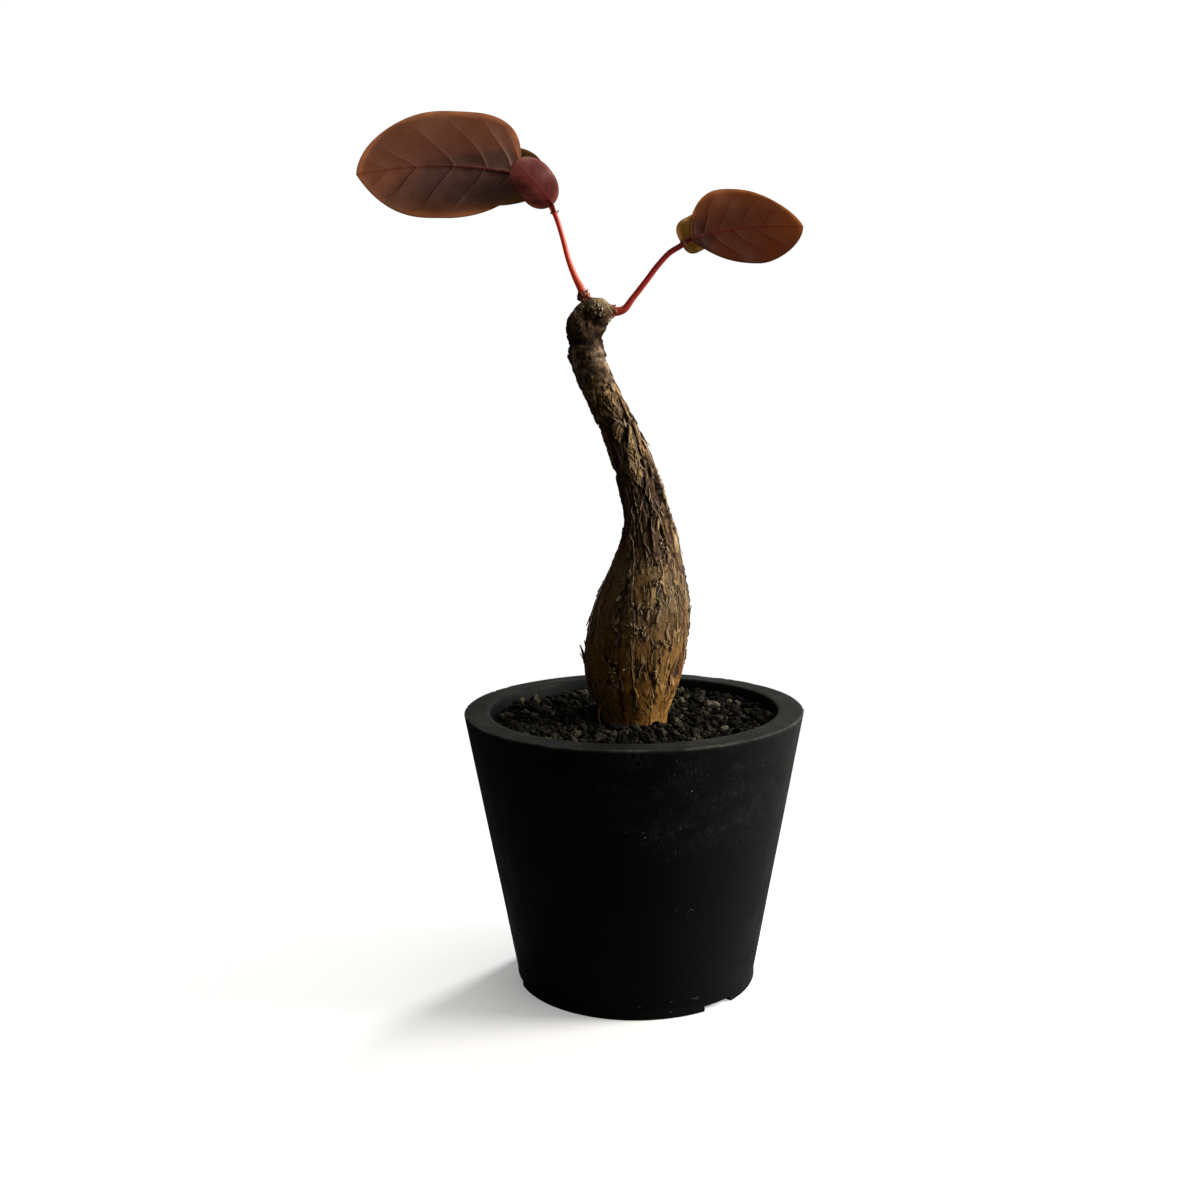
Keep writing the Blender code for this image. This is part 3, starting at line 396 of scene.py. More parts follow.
# Branchlets: points from the foot in the head to the last leaf, and radii there
LEFT_BRANCHLET = (
    (-10.5, 0.0, 170.6),
    (-11.5, 0.0, 174.2),
    (-13.3, -0.1, 178.0),
    (-14.8, -0.2, 182.0),
    (-16.3, -0.2, 187.8),
    (-18.0, 0.0, 193.0),
    (-20.4, 0.5, 197.0),
    (-22.8, 0.9, 199.9),
    (-24.7, 1.0, 201.3),
)
LEFT_RADII = (1.15, 1.0, 0.77, 0.66, 0.6, 0.62, 0.62, 0.62, 0.65)
RIGHT_BRANCHLET = (
    (-5.6, -0.2, 169.5),
    (-3.6, -0.2, 169.4),
    (-1.3, -0.2, 170.0),
    (0.8, -0.1, 172.6),
    (3.8, 0.1, 176.3),
    (6.6, 0.3, 179.9),
    (9.6, 0.4, 183.1),
    (12.2, 0.3, 184.7),
    (13.6, 0.2, 185.5),
)
RIGHT_RADII = (1.05, 1.1, 0.92, 0.76, 0.72, 0.7, 0.7, 0.7, 0.68)
# Scales and crumbs of bark round the foot of each branchlet
BUD_SCALES = 14
BUD_CRUMBS = 34
# Stipules: place, the way they point, and the way they face
LEFT_STIPULES = (
    ((-17.4, -0.1, 192.9), (0.4, 0.0, 1.0), (1.0, 0.0, 0.0)),
    ((-18.3, 0.0, 192.6), (-0.6, 0.0, 1.0), (-1.0, 0.0, 0.0)),
)
Branchlet = namedtuple("Branchlet", "name node slot stem radii stipules skin colours")
BRANCHLETS = (
    Branchlet("left_branchlet", "branchlet_left", "left_stem", LEFT_BRANCHLET, LEFT_RADII, LEFT_STIPULES,
              "orange red skin", ((120, 44, 22), (214, 96, 58), (200, 78, 52), (130, 40, 34))),
    Branchlet("right_branchlet", "branchlet_right", "right_stem", RIGHT_BRANCHLET, RIGHT_RADII, (),
              "crimson skin", ((110, 50, 24), (170, 62, 34), (160, 36, 36), (96, 26, 26))),
)

# Leaves
END_SHARE = 0.6  # share of the greatest width at which the grid's end edges meet the outline
EDGE_WAVE = 0.5
EDGE_WAVES = 2.3
EDGE_WAVE_SLANT = 0.3
BLADE_HALF_THICKNESS = 0.17
MIDRIB_WIDTH = 0.38
VEIN_WIDTH = 0.17
PUCKER = 0.2
RELIEF_WIDTH = 14.0  # half width of a blade whose veins stand up to their full height

# One half of a blade: its width, where along the midrib it is widest, and the power and root of its outline
# on the base side and on the tip side
Half = namedtuple("Half", "width widest base_power base_root tip_power tip_root")
# A leaf: bow lifts the midrib, lean is how far the blade slopes back for each millimetre up, cup how far its
# edges bend back and arch how far its middle does. under is the side along Y that its underside faces,
# low_glow how warm and bright its low edge is, as painted light, and veil how much the painted shadow of the
# leaf behind darkens it. A vein is where it leaves the midrib and how far it sweeps on to the edge, as shares
# of the blade's length
Leaf = namedtuple("Leaf", (
    "node", "slot", "base", "tip", "bow", "lean", "cup", "arch", "upper", "lower", "cells", "petiole",
    "petiole_radius", "under", "low_glow", "veil", "upper_veins", "lower_veins",
))
LEAVES = (
    Leaf("leaf_left_large", "maroon_leaf",
         (-25.8, 1.0, 202.0), (-65.0, -3.4, 202.0), 2.4, 0.32, 2.0, 1.6,
         Half(14.0, 0.42, 4.0, 0.25, 2.12, 0.5), Half(12.5, 0.45, 1.6, 0.5, 3.05, 1.0),
         (180, 100), ((-25.0, 1.0, 201.5), (-25.4, 1.0, 201.7)), 0.7, -1, 1.0, 1.0,
         ((0.0, 0.11), (0.055, 0.23), (0.2, 0.34), (0.41, 0.39), (0.634, 0.55), (0.8, 0.5)),
         ((0.07, 0.4), (0.235, 0.26), (0.425, 0.27), (0.634, 0.28), (0.8, 0.3))),
    Leaf("leaf_left_middle", "olive_leaf",
         (-19.9, 5.2, 200.0), (-51.8, 9.4, 199.4), 1.6, 0.30, -0.8, -0.6,
         Half(8.6, 0.40, 4.4, 0.35, 2.2, 0.6), Half(6.1, 0.45, 2.0, 0.6, 2.2, 0.7),
         (110, 56), ((-20.2, 1.6, 196.7), (-20.2, 3.3, 197.4)), 0.6, 1, 0.5, 0.0,
         ((0.04, 0.14), (0.12, 0.24), (0.27, 0.34), (0.46, 0.4), (0.66, 0.45)),
         ((0.08, 0.2), (0.2, 0.28), (0.38, 0.32), (0.58, 0.36))),
    Leaf("leaf_left_small", "pink_leaf",
         (-18.3, -2.0, 194.7), (-26.9, -4.4, 204.7), 0.1, 0.15, 1.0, 0.8,
         Half(5.0, 0.52, 2.2, 0.5, 2.2, 0.5), Half(4.7, 0.52, 2.6, 0.5, 2.6, 0.5),
         (80, 56), ((-18.0, -1.05, 193.2), (-18.2, -1.7, 193.9)), 0.5, -1, 0.8, 0.1,
         ((0.08, 0.2), (0.22, 0.26), (0.38, 0.3), (0.56, 0.32)),
         ((0.12, 0.2), (0.28, 0.26), (0.45, 0.3), (0.62, 0.32))),
    Leaf("leaf_right_large", "rust_leaf",
         (14.7, 0.0, 186.4), (41.9, -2.2, 188.8), 1.4, 0.25, 1.6, 1.2,
         Half(10.3, 0.31, 2.3, 0.5, 1.72, 0.72), Half(8.8, 0.62, 2.15, 1.0, 1.7, 0.62),
         (140, 84), ((13.9, 0.2, 185.7), (14.2, 0.1, 185.9)), 0.65, -1, 0.0, 0.3,
         ((0.04, 0.08), (0.13, 0.16), (0.27, 0.24), (0.45, 0.28), (0.64, 0.34)),
         ((0.08, 0.2), (0.2, 0.34), (0.38, 0.42), (0.58, 0.4))),
    Leaf("leaf_right_small", "golden_leaf",
         (12.8, 3.4, 185.8), (22.6, 6.4, 190.6), 0.2, 0.30, -0.6, -0.5,
         Half(4.9, 0.45, 4.0, 0.3, 2.2, 0.5), Half(4.1, 0.45, 4.0, 0.3, 2.2, 0.5),
         (64, 44), ((12.2, 1.45, 184.5), (12.4, 2.6, 185.0)), 0.5, 1, 0.5, 0.0,
         ((0.1, 0.16), (0.28, 0.24), (0.5, 0.28)),
         ((0.14, 0.18), (0.34, 0.26), (0.54, 0.28))),
)
# The leaves' colours as 8-bit screen values. What comes through them is a linear colour, with its share
# Painted light: low lightens the lower half, edge is the outline's backlit glow, and foot lifts the base
# of the maroon and rust leaves. veil is the tone of the painted shadow of the leaf behind, and vein the
# upper half's veins, pale as painted highlight.
LeafTones = namedtuple("LeafTones", (
    "middle", "dark", "warm", "foot", "low", "veil", "edge", "vein", "low_vein", "upper", "through",
    "through_edge", "share", "rib",
))
LEAF_TONES = {
    "maroon_leaf": LeafTones(
        middle=(92, 58, 45), dark=(80, 51, 41), warm=(100, 64, 45), foot=(128, 94, 84),
        low=(120, 77, 61), veil=(112, 76, 68),
        edge=(146, 94, 60), vein=(140, 98, 82), low_vein=(62, 34, 28), upper=(52, 42, 30),
        through=(0.46, 0.22, 0.12, 1), through_edge=(1.0, 0.56, 0.30, 1), share=0.42, rib=(112, 44, 38)),
    "olive_leaf": LeafTones(
        middle=(52, 46, 22), dark=(38, 34, 18), warm=(64, 52, 24), foot=(48, 42, 20),
        low=(52, 46, 22), veil=(40, 36, 18),
        edge=(110, 68, 32), vein=(76, 56, 34), low_vein=(62, 42, 26), upper=(36, 36, 20),
        through=(0.24, 0.18, 0.05, 1), through_edge=(0.62, 0.30, 0.08, 1), share=0.36, rib=(90, 40, 26)),
    "pink_leaf": LeafTones(
        middle=(100, 49, 45), dark=(84, 40, 37), warm=(104, 53, 47), foot=(104, 47, 43),
        low=(116, 58, 53), veil=(84, 40, 37),
        edge=(132, 80, 70), vein=(104, 48, 45), low_vein=(88, 37, 35), upper=(72, 40, 38),
        through=(0.40, 0.13, 0.10, 1), through_edge=(0.72, 0.36, 0.27, 1), share=0.4, rib=(110, 34, 35)),
    "rust_leaf": LeafTones(
        middle=(80, 46, 36), dark=(66, 39, 32), warm=(118, 66, 36), foot=(92, 52, 38),
        low=(92, 60, 52), veil=(88, 52, 42),
        edge=(150, 90, 44), vein=(80, 49, 41), low_vein=(66, 34, 29), upper=(52, 36, 24),
        through=(0.36, 0.16, 0.07, 1), through_edge=(1.0, 0.56, 0.24, 1), share=0.42, rib=(108, 36, 33)),
    "golden_leaf": LeafTones(
        middle=(98, 70, 22), dark=(70, 48, 14), warm=(110, 78, 34), foot=(74, 54, 18),
        low=(98, 74, 24), veil=(70, 54, 18),
        edge=(214, 156, 104), vein=(86, 60, 34), low_vein=(70, 44, 28), upper=(88, 58, 14),
        through=(0.44, 0.30, 0.10, 1), through_edge=(0.90, 0.62, 0.34, 1), share=0.42, rib=(104, 48, 28)),
}
# What the points of a blade tell its finish
# edge and low_edge carry painted light, foot partly, and veiled a painted shadow
BLADE_KEYS = ("rib", "vein", "edge", "line", "high", "warm", "low_edge", "foot", "veiled")


# Small sums


def ramp(value, start, end):
    """How far a value has come from start to end, from 0 to 1, easing in and out."""
    share = min(max((value - start) / (end - start), 0.0), 1.0)
    return share * share * (3.0 - 2.0 * share)


def window(value, start, full, fade, end):
    """1 between full and fade, and 0 before start and after end."""
    return ramp(value, start, full) * (1 - ramp(value, fade, end))


def between(stations, where):
    """The values of a list of stations at a place between them, on a smooth curve through them."""
    last = len(stations) - 1
    i = max(k for k in range(last) if stations[k][0] <= where or k == 0)
    before, low, high, after = (stations[min(max(k, 0), last)] for k in (i - 1, i, i + 1, i + 2))
    step = high[0] - low[0]
    u = min(max((where - low[0]) / step, 0.0), 1.0)
    values = []
    for k in range(1, len(low)):
        start = (high[k] - before[k]) / (high[0] - before[0]) * step
        end = (after[k] - low[k]) / (after[0] - low[0]) * step
        ends = low[k] * (2 * u**3 - 3 * u**2 + 1) + high[k] * (3 * u**2 - 2 * u**3)
        values.append(ends + start * (u**3 - 2 * u**2 + u) + end * (u**3 - u**2))
    return values


def along_curve(points, steps):
    """Steps + 1 points on a smooth curve through a few."""
    stations = [(i, *point) for i, point in enumerate(points)]
    last = len(points) - 1
    return [Vector(between(stations, last * i / steps)) for i in range(steps + 1)]


def at_angle(angle, radius=1.0, z=0.0):
    """A place round an upright axis."""
    return radius * math.cos(angle), radius * math.sin(angle), z


def rough(x, y, z):
    """Smooth noise at a place, from about -1 to 1."""
    return noise.noise(Vector((x, y, z)))


def any_way(draw, most):
    """A vector with three drawn parts, each up to a most."""
    return Vector([draw.uniform(-most, most) for _ in range(3)])


def tone(red, green, blue):
    """A linear colour from its 8-bit screen values."""
    channels = [value / 255 for value in (red, green, blue)]
    return (*[c / 12.92 if c <= 0.04045 else ((c + 0.055) / 1.055) ** 2.4 for c in channels], 1.0)


def ink(colour):
    """A colour as the nodes take it: three numbers are 8-bit screen values, and all else stays."""
    return tone(*colour) if isinstance(colour, tuple) and len(colour) == 3 else colour


# Meshes


def show(name, data):
    """Puts a mesh, a light or a camera into the scene."""
    made = bpy.data.objects.new(name, data)
    bpy.context.scene.collection.objects.link(made)
    return made


def mesh_piece(name, points, faces, values=None):
    """A smooth mesh from points in millimetres, with a number per point for each named value."""
    mesh = bpy.data.meshes.new(name)
    placed = (np.asarray(points, float) + np.array(AXIS)) * MM
    mesh.from_pydata(placed.tolist(), [], [tuple(face) for face in faces])
    mesh.shade_smooth()
    for key, numbers in (values or {}).items():
        layer = mesh.attributes.new(key, "FLOAT", "POINT")
        layer.data.foreach_set("value", np.asarray(numbers, np.float32))
    return show(name, mesh)


def dress(piece, material, part):
    """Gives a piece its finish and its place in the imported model."""
    piece.data.materials.clear()
    piece.data.materials.append(material)
    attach(piece, BODY)
    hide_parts(part)


def grid_faces(rows, columns, start=0, closed=False, flip=False):
    """Four-cornered faces between the rows of a grid of points, the columns joined in a ring if closed."""
    faces = []
    for row in range(rows - 1):
        low = start + row * columns
        for column in range(columns if closed else columns - 1):
            after = (column + 1) % columns
            face = [low + column, low + after, low + columns + after, low + columns + column]
            faces.append(face[::-1] if flip else face)
    return faces


def tube_faces(rows, sides):
    """The faces of a stack of rings, closed at both ends."""
    ends = [list(range(sides))[::-1], [(rows - 1) * sides + k for k in range(sides)]]
    return grid_faces(rows, sides, closed=True) + ends


class Heap:
    """Many small closed shapes gathered into one mesh."""

    def __init__(self, *keys):
        self.points = []
        self.faces = []
        self.count = 0
        self.values = {key: [] for key in keys}

    def add(self, points, faces, **values):
        points = np.asarray(points, float)
        self.points.append(points)
        self.faces.extend([tuple(i + self.count for i in face) for face in faces])
        self.count += len(points)
        for key, numbers in self.values.items():
            numbers.append(np.broadcast_to(np.asarray(values[key], float), (len(points),)))

    def piece(self, name):
        values = {key: np.concatenate(numbers) for key, numbers in self.values.items()}
        return mesh_piece(name, np.concatenate(self.points), self.faces, values)


def shell(front, back):
    """Points and faces of a closed thin sheet between two grids of points."""
    rows, columns = front.shape[:2]
    count = rows * columns
    points = np.concatenate([front.reshape(-1, 3), back.reshape(-1, 3)])
    faces = grid_faces(rows, columns) + grid_faces(rows, columns, count, flip=True)
    order = np.arange(count).reshape(rows, columns)
    rim = [*order[:, 0], *order[-1, 1:], *order[-2::-1, -1], *order[0, -2:0:-1]]
    for here, after in zip(rim, rim[1:] + rim[:1]):
        faces.append([here, after, after + count, here + count])
    return points, faces


def tube(points, radii, sides):
    """Points and faces of a closed tube of changing radius along a path."""
    side = Vector((0.0, 1.0, 0.0))
    rings = []
    for i, point in enumerate(points):
        along = (points[min(i + 1, len(points) - 1)] - points[max(i - 1, 0)]).normalized()
        side = (side - along * side.dot(along)).normalized()
        other = along.cross(side)
        for k in range(sides):
            turn = math.tau * k / sides
            rings.append(point + (side * math.cos(turn) + other * math.sin(turn)) * radii[i])
    return np.array(rings), tube_faces(len(points), sides)


# Material nodes


class Number:
    """A number that nodes work out at each point of a surface, used in sums like any other."""

    def __init__(self, nodes, socket):
        self.nodes = nodes
        self.socket = socket

    def sums(self, operation, first, second=0.0):
        return self.nodes.number("Math", {0: first, 1: second}, operation=operation)

    def __add__(self, other):
        return self.sums("ADD", self, other)

    def __sub__(self, other):
        return self.sums("SUBTRACT", self, other)

    def __rsub__(self, other):
        return self.sums("SUBTRACT", other, self)

    def __mul__(self, other):
        return self.sums("MULTIPLY", self, other)

    def __abs__(self):
        return self.sums("ABSOLUTE", self)

    def or_more(self, other):
        return self.sums("MAXIMUM", self, other)

    def spread(self, low, high, to_low=0.0, to_high=1.0):
        """The number stretched from one range to another, and kept in it."""
        inputs = {"Value": self, "From Min": low, "From Max": high, "To Min": to_low, "To Max": to_high}
        return self.nodes.number("MapRange", inputs, interpolation_type="SMOOTHSTEP")


class Nodes:
    """The nodes of a material or a world. A colour of three numbers holds 8-bit screen values."""

    def __init__(self, owner):
        self.owner = owner
        owner.use_nodes = True
        self.tree = owner.node_tree
        self.tree.nodes.clear()

    def node(self, kind, inputs=None, **settings):
        made = self.tree.nodes.new("ShaderNode" + kind)
        for name, value in settings.items():
            setattr(made, name, value)
        for key, value in (inputs or {}).items():
            if isinstance(value, bpy.types.Node):
                value = value.outputs[0]
            if isinstance(value, Number):
                value = value.socket
            if isinstance(value, bpy.types.NodeSocket):
                self.tree.links.new(value, made.inputs[key])
            else:
                made.inputs[key].default_value = value
        return made

    def number(self, kind, inputs=None, output=0, **settings):
        return Number(self, self.node(kind, inputs, **settings).outputs[output])

    def value(self, key):
        """A value that the mesh holds for each point."""
        return self.number("Attribute", output="Fac", attribute_name=key)

    def place(self, stretch=(1.0, 1.0, 1.0)):
        """The object's own coordinates in millimetres, divided by a stretch along each axis."""
        scale = [1.0 / (MM * share) for share in stretch]
        return self.node("Mapping", {"Vector": self.node("TexCoord").outputs["Object"], "Scale": scale})

    def along_axis(self, axis):
        return self.number("SeparateXYZ", {0: self.place()}, output=axis)

    def cloud(self, size, stretch=(1.0, 1.0, 1.0), detail=4.0, roughness=0.55, distortion=0.0):
        """Noise whose patches are about this many millimetres across."""
        inputs = {"Vector": self.place(stretch), "Scale": 1.0 / size, "Detail": detail}
        inputs.update({"Roughness": roughness, "Distortion": distortion})
        return self.number("TexNoise", inputs)

    def blend(self, base, *coats, way="MIX"):
        """A colour with others over it, each given as its share and the colour."""
        for share, colour in coats:
            inputs = {0: share, 6: ink(base), 7: ink(colour)}
            base = self.node("Mix", inputs, data_type="RGBA", blend_type=way).outputs[2]
        return base

    def shade(self, base, share):
        """A colour made brighter or darker."""
        grey = self.node("CombineXYZ", {0: share, 1: share, 2: share})
        return self.blend(base, (1.0, grey), way="MULTIPLY")

    def colours(self, value, *stops):
        """A colour from a number, by places along a ramp, each with its colour."""
        made = self.node("ValToRGB", {0: value})
        elements = made.color_ramp.elements
        while len(elements) < len(stops):
            elements.new(0.5)
        for element, (place, *colour) in zip(elements, stops):
            element.position = place
            element.color = tone(*colour)
        return made.outputs[0]

    def surface(self, base, roughness, specular, height=None, depth=0.0):
        """A plain surface, with the depth in millimetres of its relief from a height between 0 and 1."""
        inputs = {"Base Color": base, "Roughness": roughness, "Specular IOR Level": specular}
        if height is not None:
            inputs["Normal"] = self.node("Bump", {"Height": height, "Distance": depth * MM, "Strength": 1.0})
        return self.node("BsdfPrincipled", inputs)

    def lit_through(self, surface, colour, share):
        """A thin surface that lets a share of the light through, in this colour."""
        through = self.node("BsdfTranslucent", {"Color": colour})
        return self.node("MixShader", {0: share, 1: surface, 2: through})

    def finish(self, shader):
        self.node("OutputMaterial", {"Surface": shader})
        return self.owner


def material_nodes(name):
    return Nodes(bpy.data.materials.new(name))


def plastic_material():
    """Matte black moulded plastic, with a faint haze of dust on its right side and a paler line round the
    rim's outer edge.
    """
    made = material_nodes("matte black plastic")
    across, up = made.along_axis(0), made.along_axis(2)
    haze = made.cloud(9.0, (1, 1, 0.6)).spread(0.36, 0.66) * 0.5
    fine = made.cloud(0.4, (1, 1, 5.0), detail=5.0, roughness=0.7).spread(0.42, 0.7)
    side = across.spread(AXIS.x - 16.0, AXIS.x + 4.0) * across.spread(AXIS.x + 36.0, AXIS.x + 14.0, 0.35, 1.0)
    band = up.spread(*BAND_FROM) * up.spread(*BAND_TO) * made.cloud(3.0, (2, 2, 0.3)).spread(0.45, 0.7)
    dust = (haze * fine * side * up.spread(*HAZE_FROM) + band * 0.06) * 0.32
    speckle = made.cloud(0.5, detail=5.0, roughness=0.7).spread(0.36, 0.66)
    matte = made.blend(RIM_TONES[0], (speckle, RIM_TONES[1]))
    flat = made.number("VectorMath", {0: made.place((1, 1, 1e6)), 1: AXIS}, "Value", operation="DISTANCE")
    # A paler broken line along the outer edge of the rim's top
    rim_line = flat.spread(RIM_RADIUS - 0.7, RIM_RADIUS - 0.3) * up.spread(POT_HEIGHT - 0.9, POT_HEIGHT - 0.35)
    rim_line = rim_line * made.cloud(7.0, detail=7.0, roughness=0.7).spread(0.42, 0.72, 0.1, 0.6)
    base = made.blend(
        PLASTIC_TONES[0],
        (made.cloud(22.0), PLASTIC_TONES[1]),
        (up.spread(POT_HEIGHT - 0.7, POT_HEIGHT - 0.1) * 0.9, matte),
        (dust, HAZE_TONE),
        (rim_line, RIM_LINE_TONE),
    )
    height = made.cloud(0.35, detail=3.0) * 0.6 + made.cloud(1.4, (1, 1, 14.0), detail=3.0)
    shine = made.cloud(6.0, detail=6.0).spread(0.3, 0.7, 0.52, 0.66)
    return made.finish(made.surface(base, shine, 0.06, height, 0.03))


def grit_material():
    """Volcanic grit: near black to beige lumps, each of its own tone, with a rough broken surface."""
    made = material_nodes("volcanic grit")
    stops = ((0.0, 5, 5, 4), (0.36, 20, 18, 13), (0.62, 46, 43, 34), (0.86, 74, 70, 57), (1.0, 100, 95, 80))
    mottle = made.cloud(0.6, detail=6.0).spread(0.36, 0.68, 0.25, 1.7)
    base = made.shade(made.colours(made.value("grain"), *stops), mottle)
    return made.finish(made.surface(base, 0.95, 0.05, made.cloud(0.3, detail=6.0, roughness=0.75), 0.4))


def bark_colours(made):
    """The bark's colours up the stem: golden foot, grey-brown belly and trunk, ochre, neck and head, and a
    painted highlight on the head's top.
    """
    up = made.along_axis(2)
    at = up + (made.cloud(4.0, detail=5.0) - 0.5) * 16.0
    blotch = made.cloud(2.2, detail=8.0, roughness=0.66)
    shade = made.cloud(1.4, (1, 1, 7.0), detail=6.0, roughness=0.58) * 0.4 + blotch * 0.6
    shade = shade + (made.value("plate") - 0.5) * 0.3
    even = (made.value("calm") * 0.6).or_more(up.spread(114.0, 104.0, 0.0, 0.4))
    shade = shade + (0.5 - shade) * even
    brown = at.spread(*GOLDEN_BELOW).or_more(at.spread(*GOLDEN_ABOVE, 0.0, 0.6))
    brown = brown.or_more(made.cloud(7.0, (1, 1, 2.4), detail=3.0).spread(0.5, 0.6, 0.0, 0.35))
    return made.blend(
        made.colours(shade, *GREY_BARK),
        (brown, made.colours(shade, *GOLDEN_BARK)),
        (at.spread(*FOOT_BELOW, 0.0, 0.85), made.colours(shade, *FOOT_BARK)),
        (shade.spread(0.44, 0.58, 0.0, 0.55) * up.spread(*BRIGHT_ABOVE), BRIGHT_TONE),
        (at.spread(*OCHRE_ABOVE), made.colours(blotch, *OCHRE_BARK)),
        (at.spread(*NECK_ABOVE), made.colours(blotch, *NECK_BARK)),
        (up.spread(*HEAD_ABOVE), made.colours(blotch, *HEAD_BARK)),
        # Painted highlight on the head's top
        (up.spread(*CROWN_ABOVE, 0.0, 0.7), CROWN_HIGHLIGHT),
    )


def bark_lines(made, up):
    """Thin broken cracks up and down the bark, and the pale lips beside them, both from 0 to 1."""
    run = made.cloud(4.4, (1, 1, 4.5), detail=4.0, roughness=0.52, distortion=0.5) - 0.5
    shown = made.cloud(3.8, (1, 1, 2.0)).spread(0.44, 0.54) * up.spread(152.0, 148.0)
    shown = shown * up.spread(70.0, 80.0, 0.5, 1.0) * made.value("calm").spread(0.0, 1.0, 1.0, 0.15)
    return abs(run).spread(0.034, 0.012) * shown, abs(run - 0.056).spread(0.028, 0.008) * shown


def bark_material():
    """Bark with pale ridges and lips, partly painted highlight, dark furrows, painted shade in hollows, dents
    and the collar, stains, lichen and, on the head, a crumbly crust.
    """
    made = material_nodes("flaking bark")
    up = made.along_axis(2)
    crack, lip = bark_lines(made, up)
    # Ridges and lips are paler: partly the bark's own tone, partly painted highlight on what stands out
    ridge = made.value("ridge") * up.spread(162.0, 158.0, 0.2, 0.42)
    stain = made.cloud(3.0, (1, 1, 1.6), detail=6.0, roughness=0.65).spread(0.48, 0.66, 0.0, 0.65)
    crust = up.spread(159.0, 165.0)
    spots = made.cloud(0.9, detail=7.0, roughness=0.75)
    # Painted shade in the bark's hollows
    hollow = made.value("hollow") * up.spread(100.0, 114.0, 0.25, 0.5)
    base = made.blend(
        bark_colours(made),
        (ridge.or_more(lip * 0.5), (172, 140, 96)),
        (stain * up.spread(118.0, 134.0, 0.25, 0.9), (48, 25, 7)),
        (spots.spread(0.5, 0.64, 0.0, 0.75) * up.spread(161.0, 170.0, 0.15, 1.0), (150, 120, 76)),
        (spots.spread(0.48, 0.38, 0.0, 0.85) * crust, (22, 9, 2)),
        # Dark joints of furrows and cracks, with painted shade in the hollows, dents and collar
        ((made.value("furrow") * 0.85).or_more(hollow).or_more(crack * 0.9), (20, 8, 2)),
        (made.cloud(0.5, detail=6.0, roughness=0.7).spread(0.54, 0.7, 0.0, 0.3), (44, 24, 9)),
    )
    height = made.cloud(0.6, (1, 1, 3.0), detail=6.0, roughness=0.65) * 0.35 + lip * 0.6 - crack * 0.7
    height = height + made.cloud(1.1, detail=5.0) * 0.4
    height = height + made.cloud(0.8, detail=7.0, roughness=0.75) * crust * 1.6
    return made.finish(made.surface(base, 0.7, 0.12, height, 0.5))


def flake_material():
    """Loose bark: the bark's colours, paler or darker by each piece's share, the paleness partly painted
    highlight and the darkness partly painted shade.
    """
    made = material_nodes("loose bark")
    pale = made.value("pale")
    base = made.blend(bark_colours(made), (pale, (206, 184, 148)), (made.value("dark"), (18, 9, 3)))
    grain = made.cloud(0.4, (1, 1, 5.0), detail=5.0)
    return made.finish(made.surface(base, pale.spread(0.0, 0.5, 0.8, 0.4), 0.3, grain, 0.12))


def skin_material(name, *colours):
    """The thin glossy skin of a branchlet, with four colours from its foot to its last leaf."""
    made = material_nodes(name)
    stops = [(place, *colour) for place, colour in zip((0.0, 0.16, 0.5, 1.0), colours)]
    mottle = made.cloud(2.4, (1, 1, 2.0), detail=3.0).spread(0.35, 0.75, 0.0, 0.22)
    base = made.blend(made.colours(made.value("run"), *stops), (mottle, (96, 20, 16)))
    gloss = made.surface(base, 0.42, 0.5, made.cloud(0.5, (1, 1, 4.0)), 0.02)
    return made.finish(made.lit_through(gloss, made.blend(base, (0.5, (255, 110, 70))), 0.3))


def scale_material():
    """Dark red-brown bud scales."""
    made = material_nodes("bud scales")
    stops = ((0.0, 66, 26, 16), (0.4, 132, 50, 34), (0.8, 154, 74, 46), (1.0, 168, 122, 86))
    mottle = made.cloud(0.7).spread(0.5, 0.8)
    base = made.blend(made.colours(made.value("run"), *stops), (mottle, (40, 20, 14)))
    return made.finish(made.surface(base, 0.7, 0.35, made.cloud(0.3), 0.1))


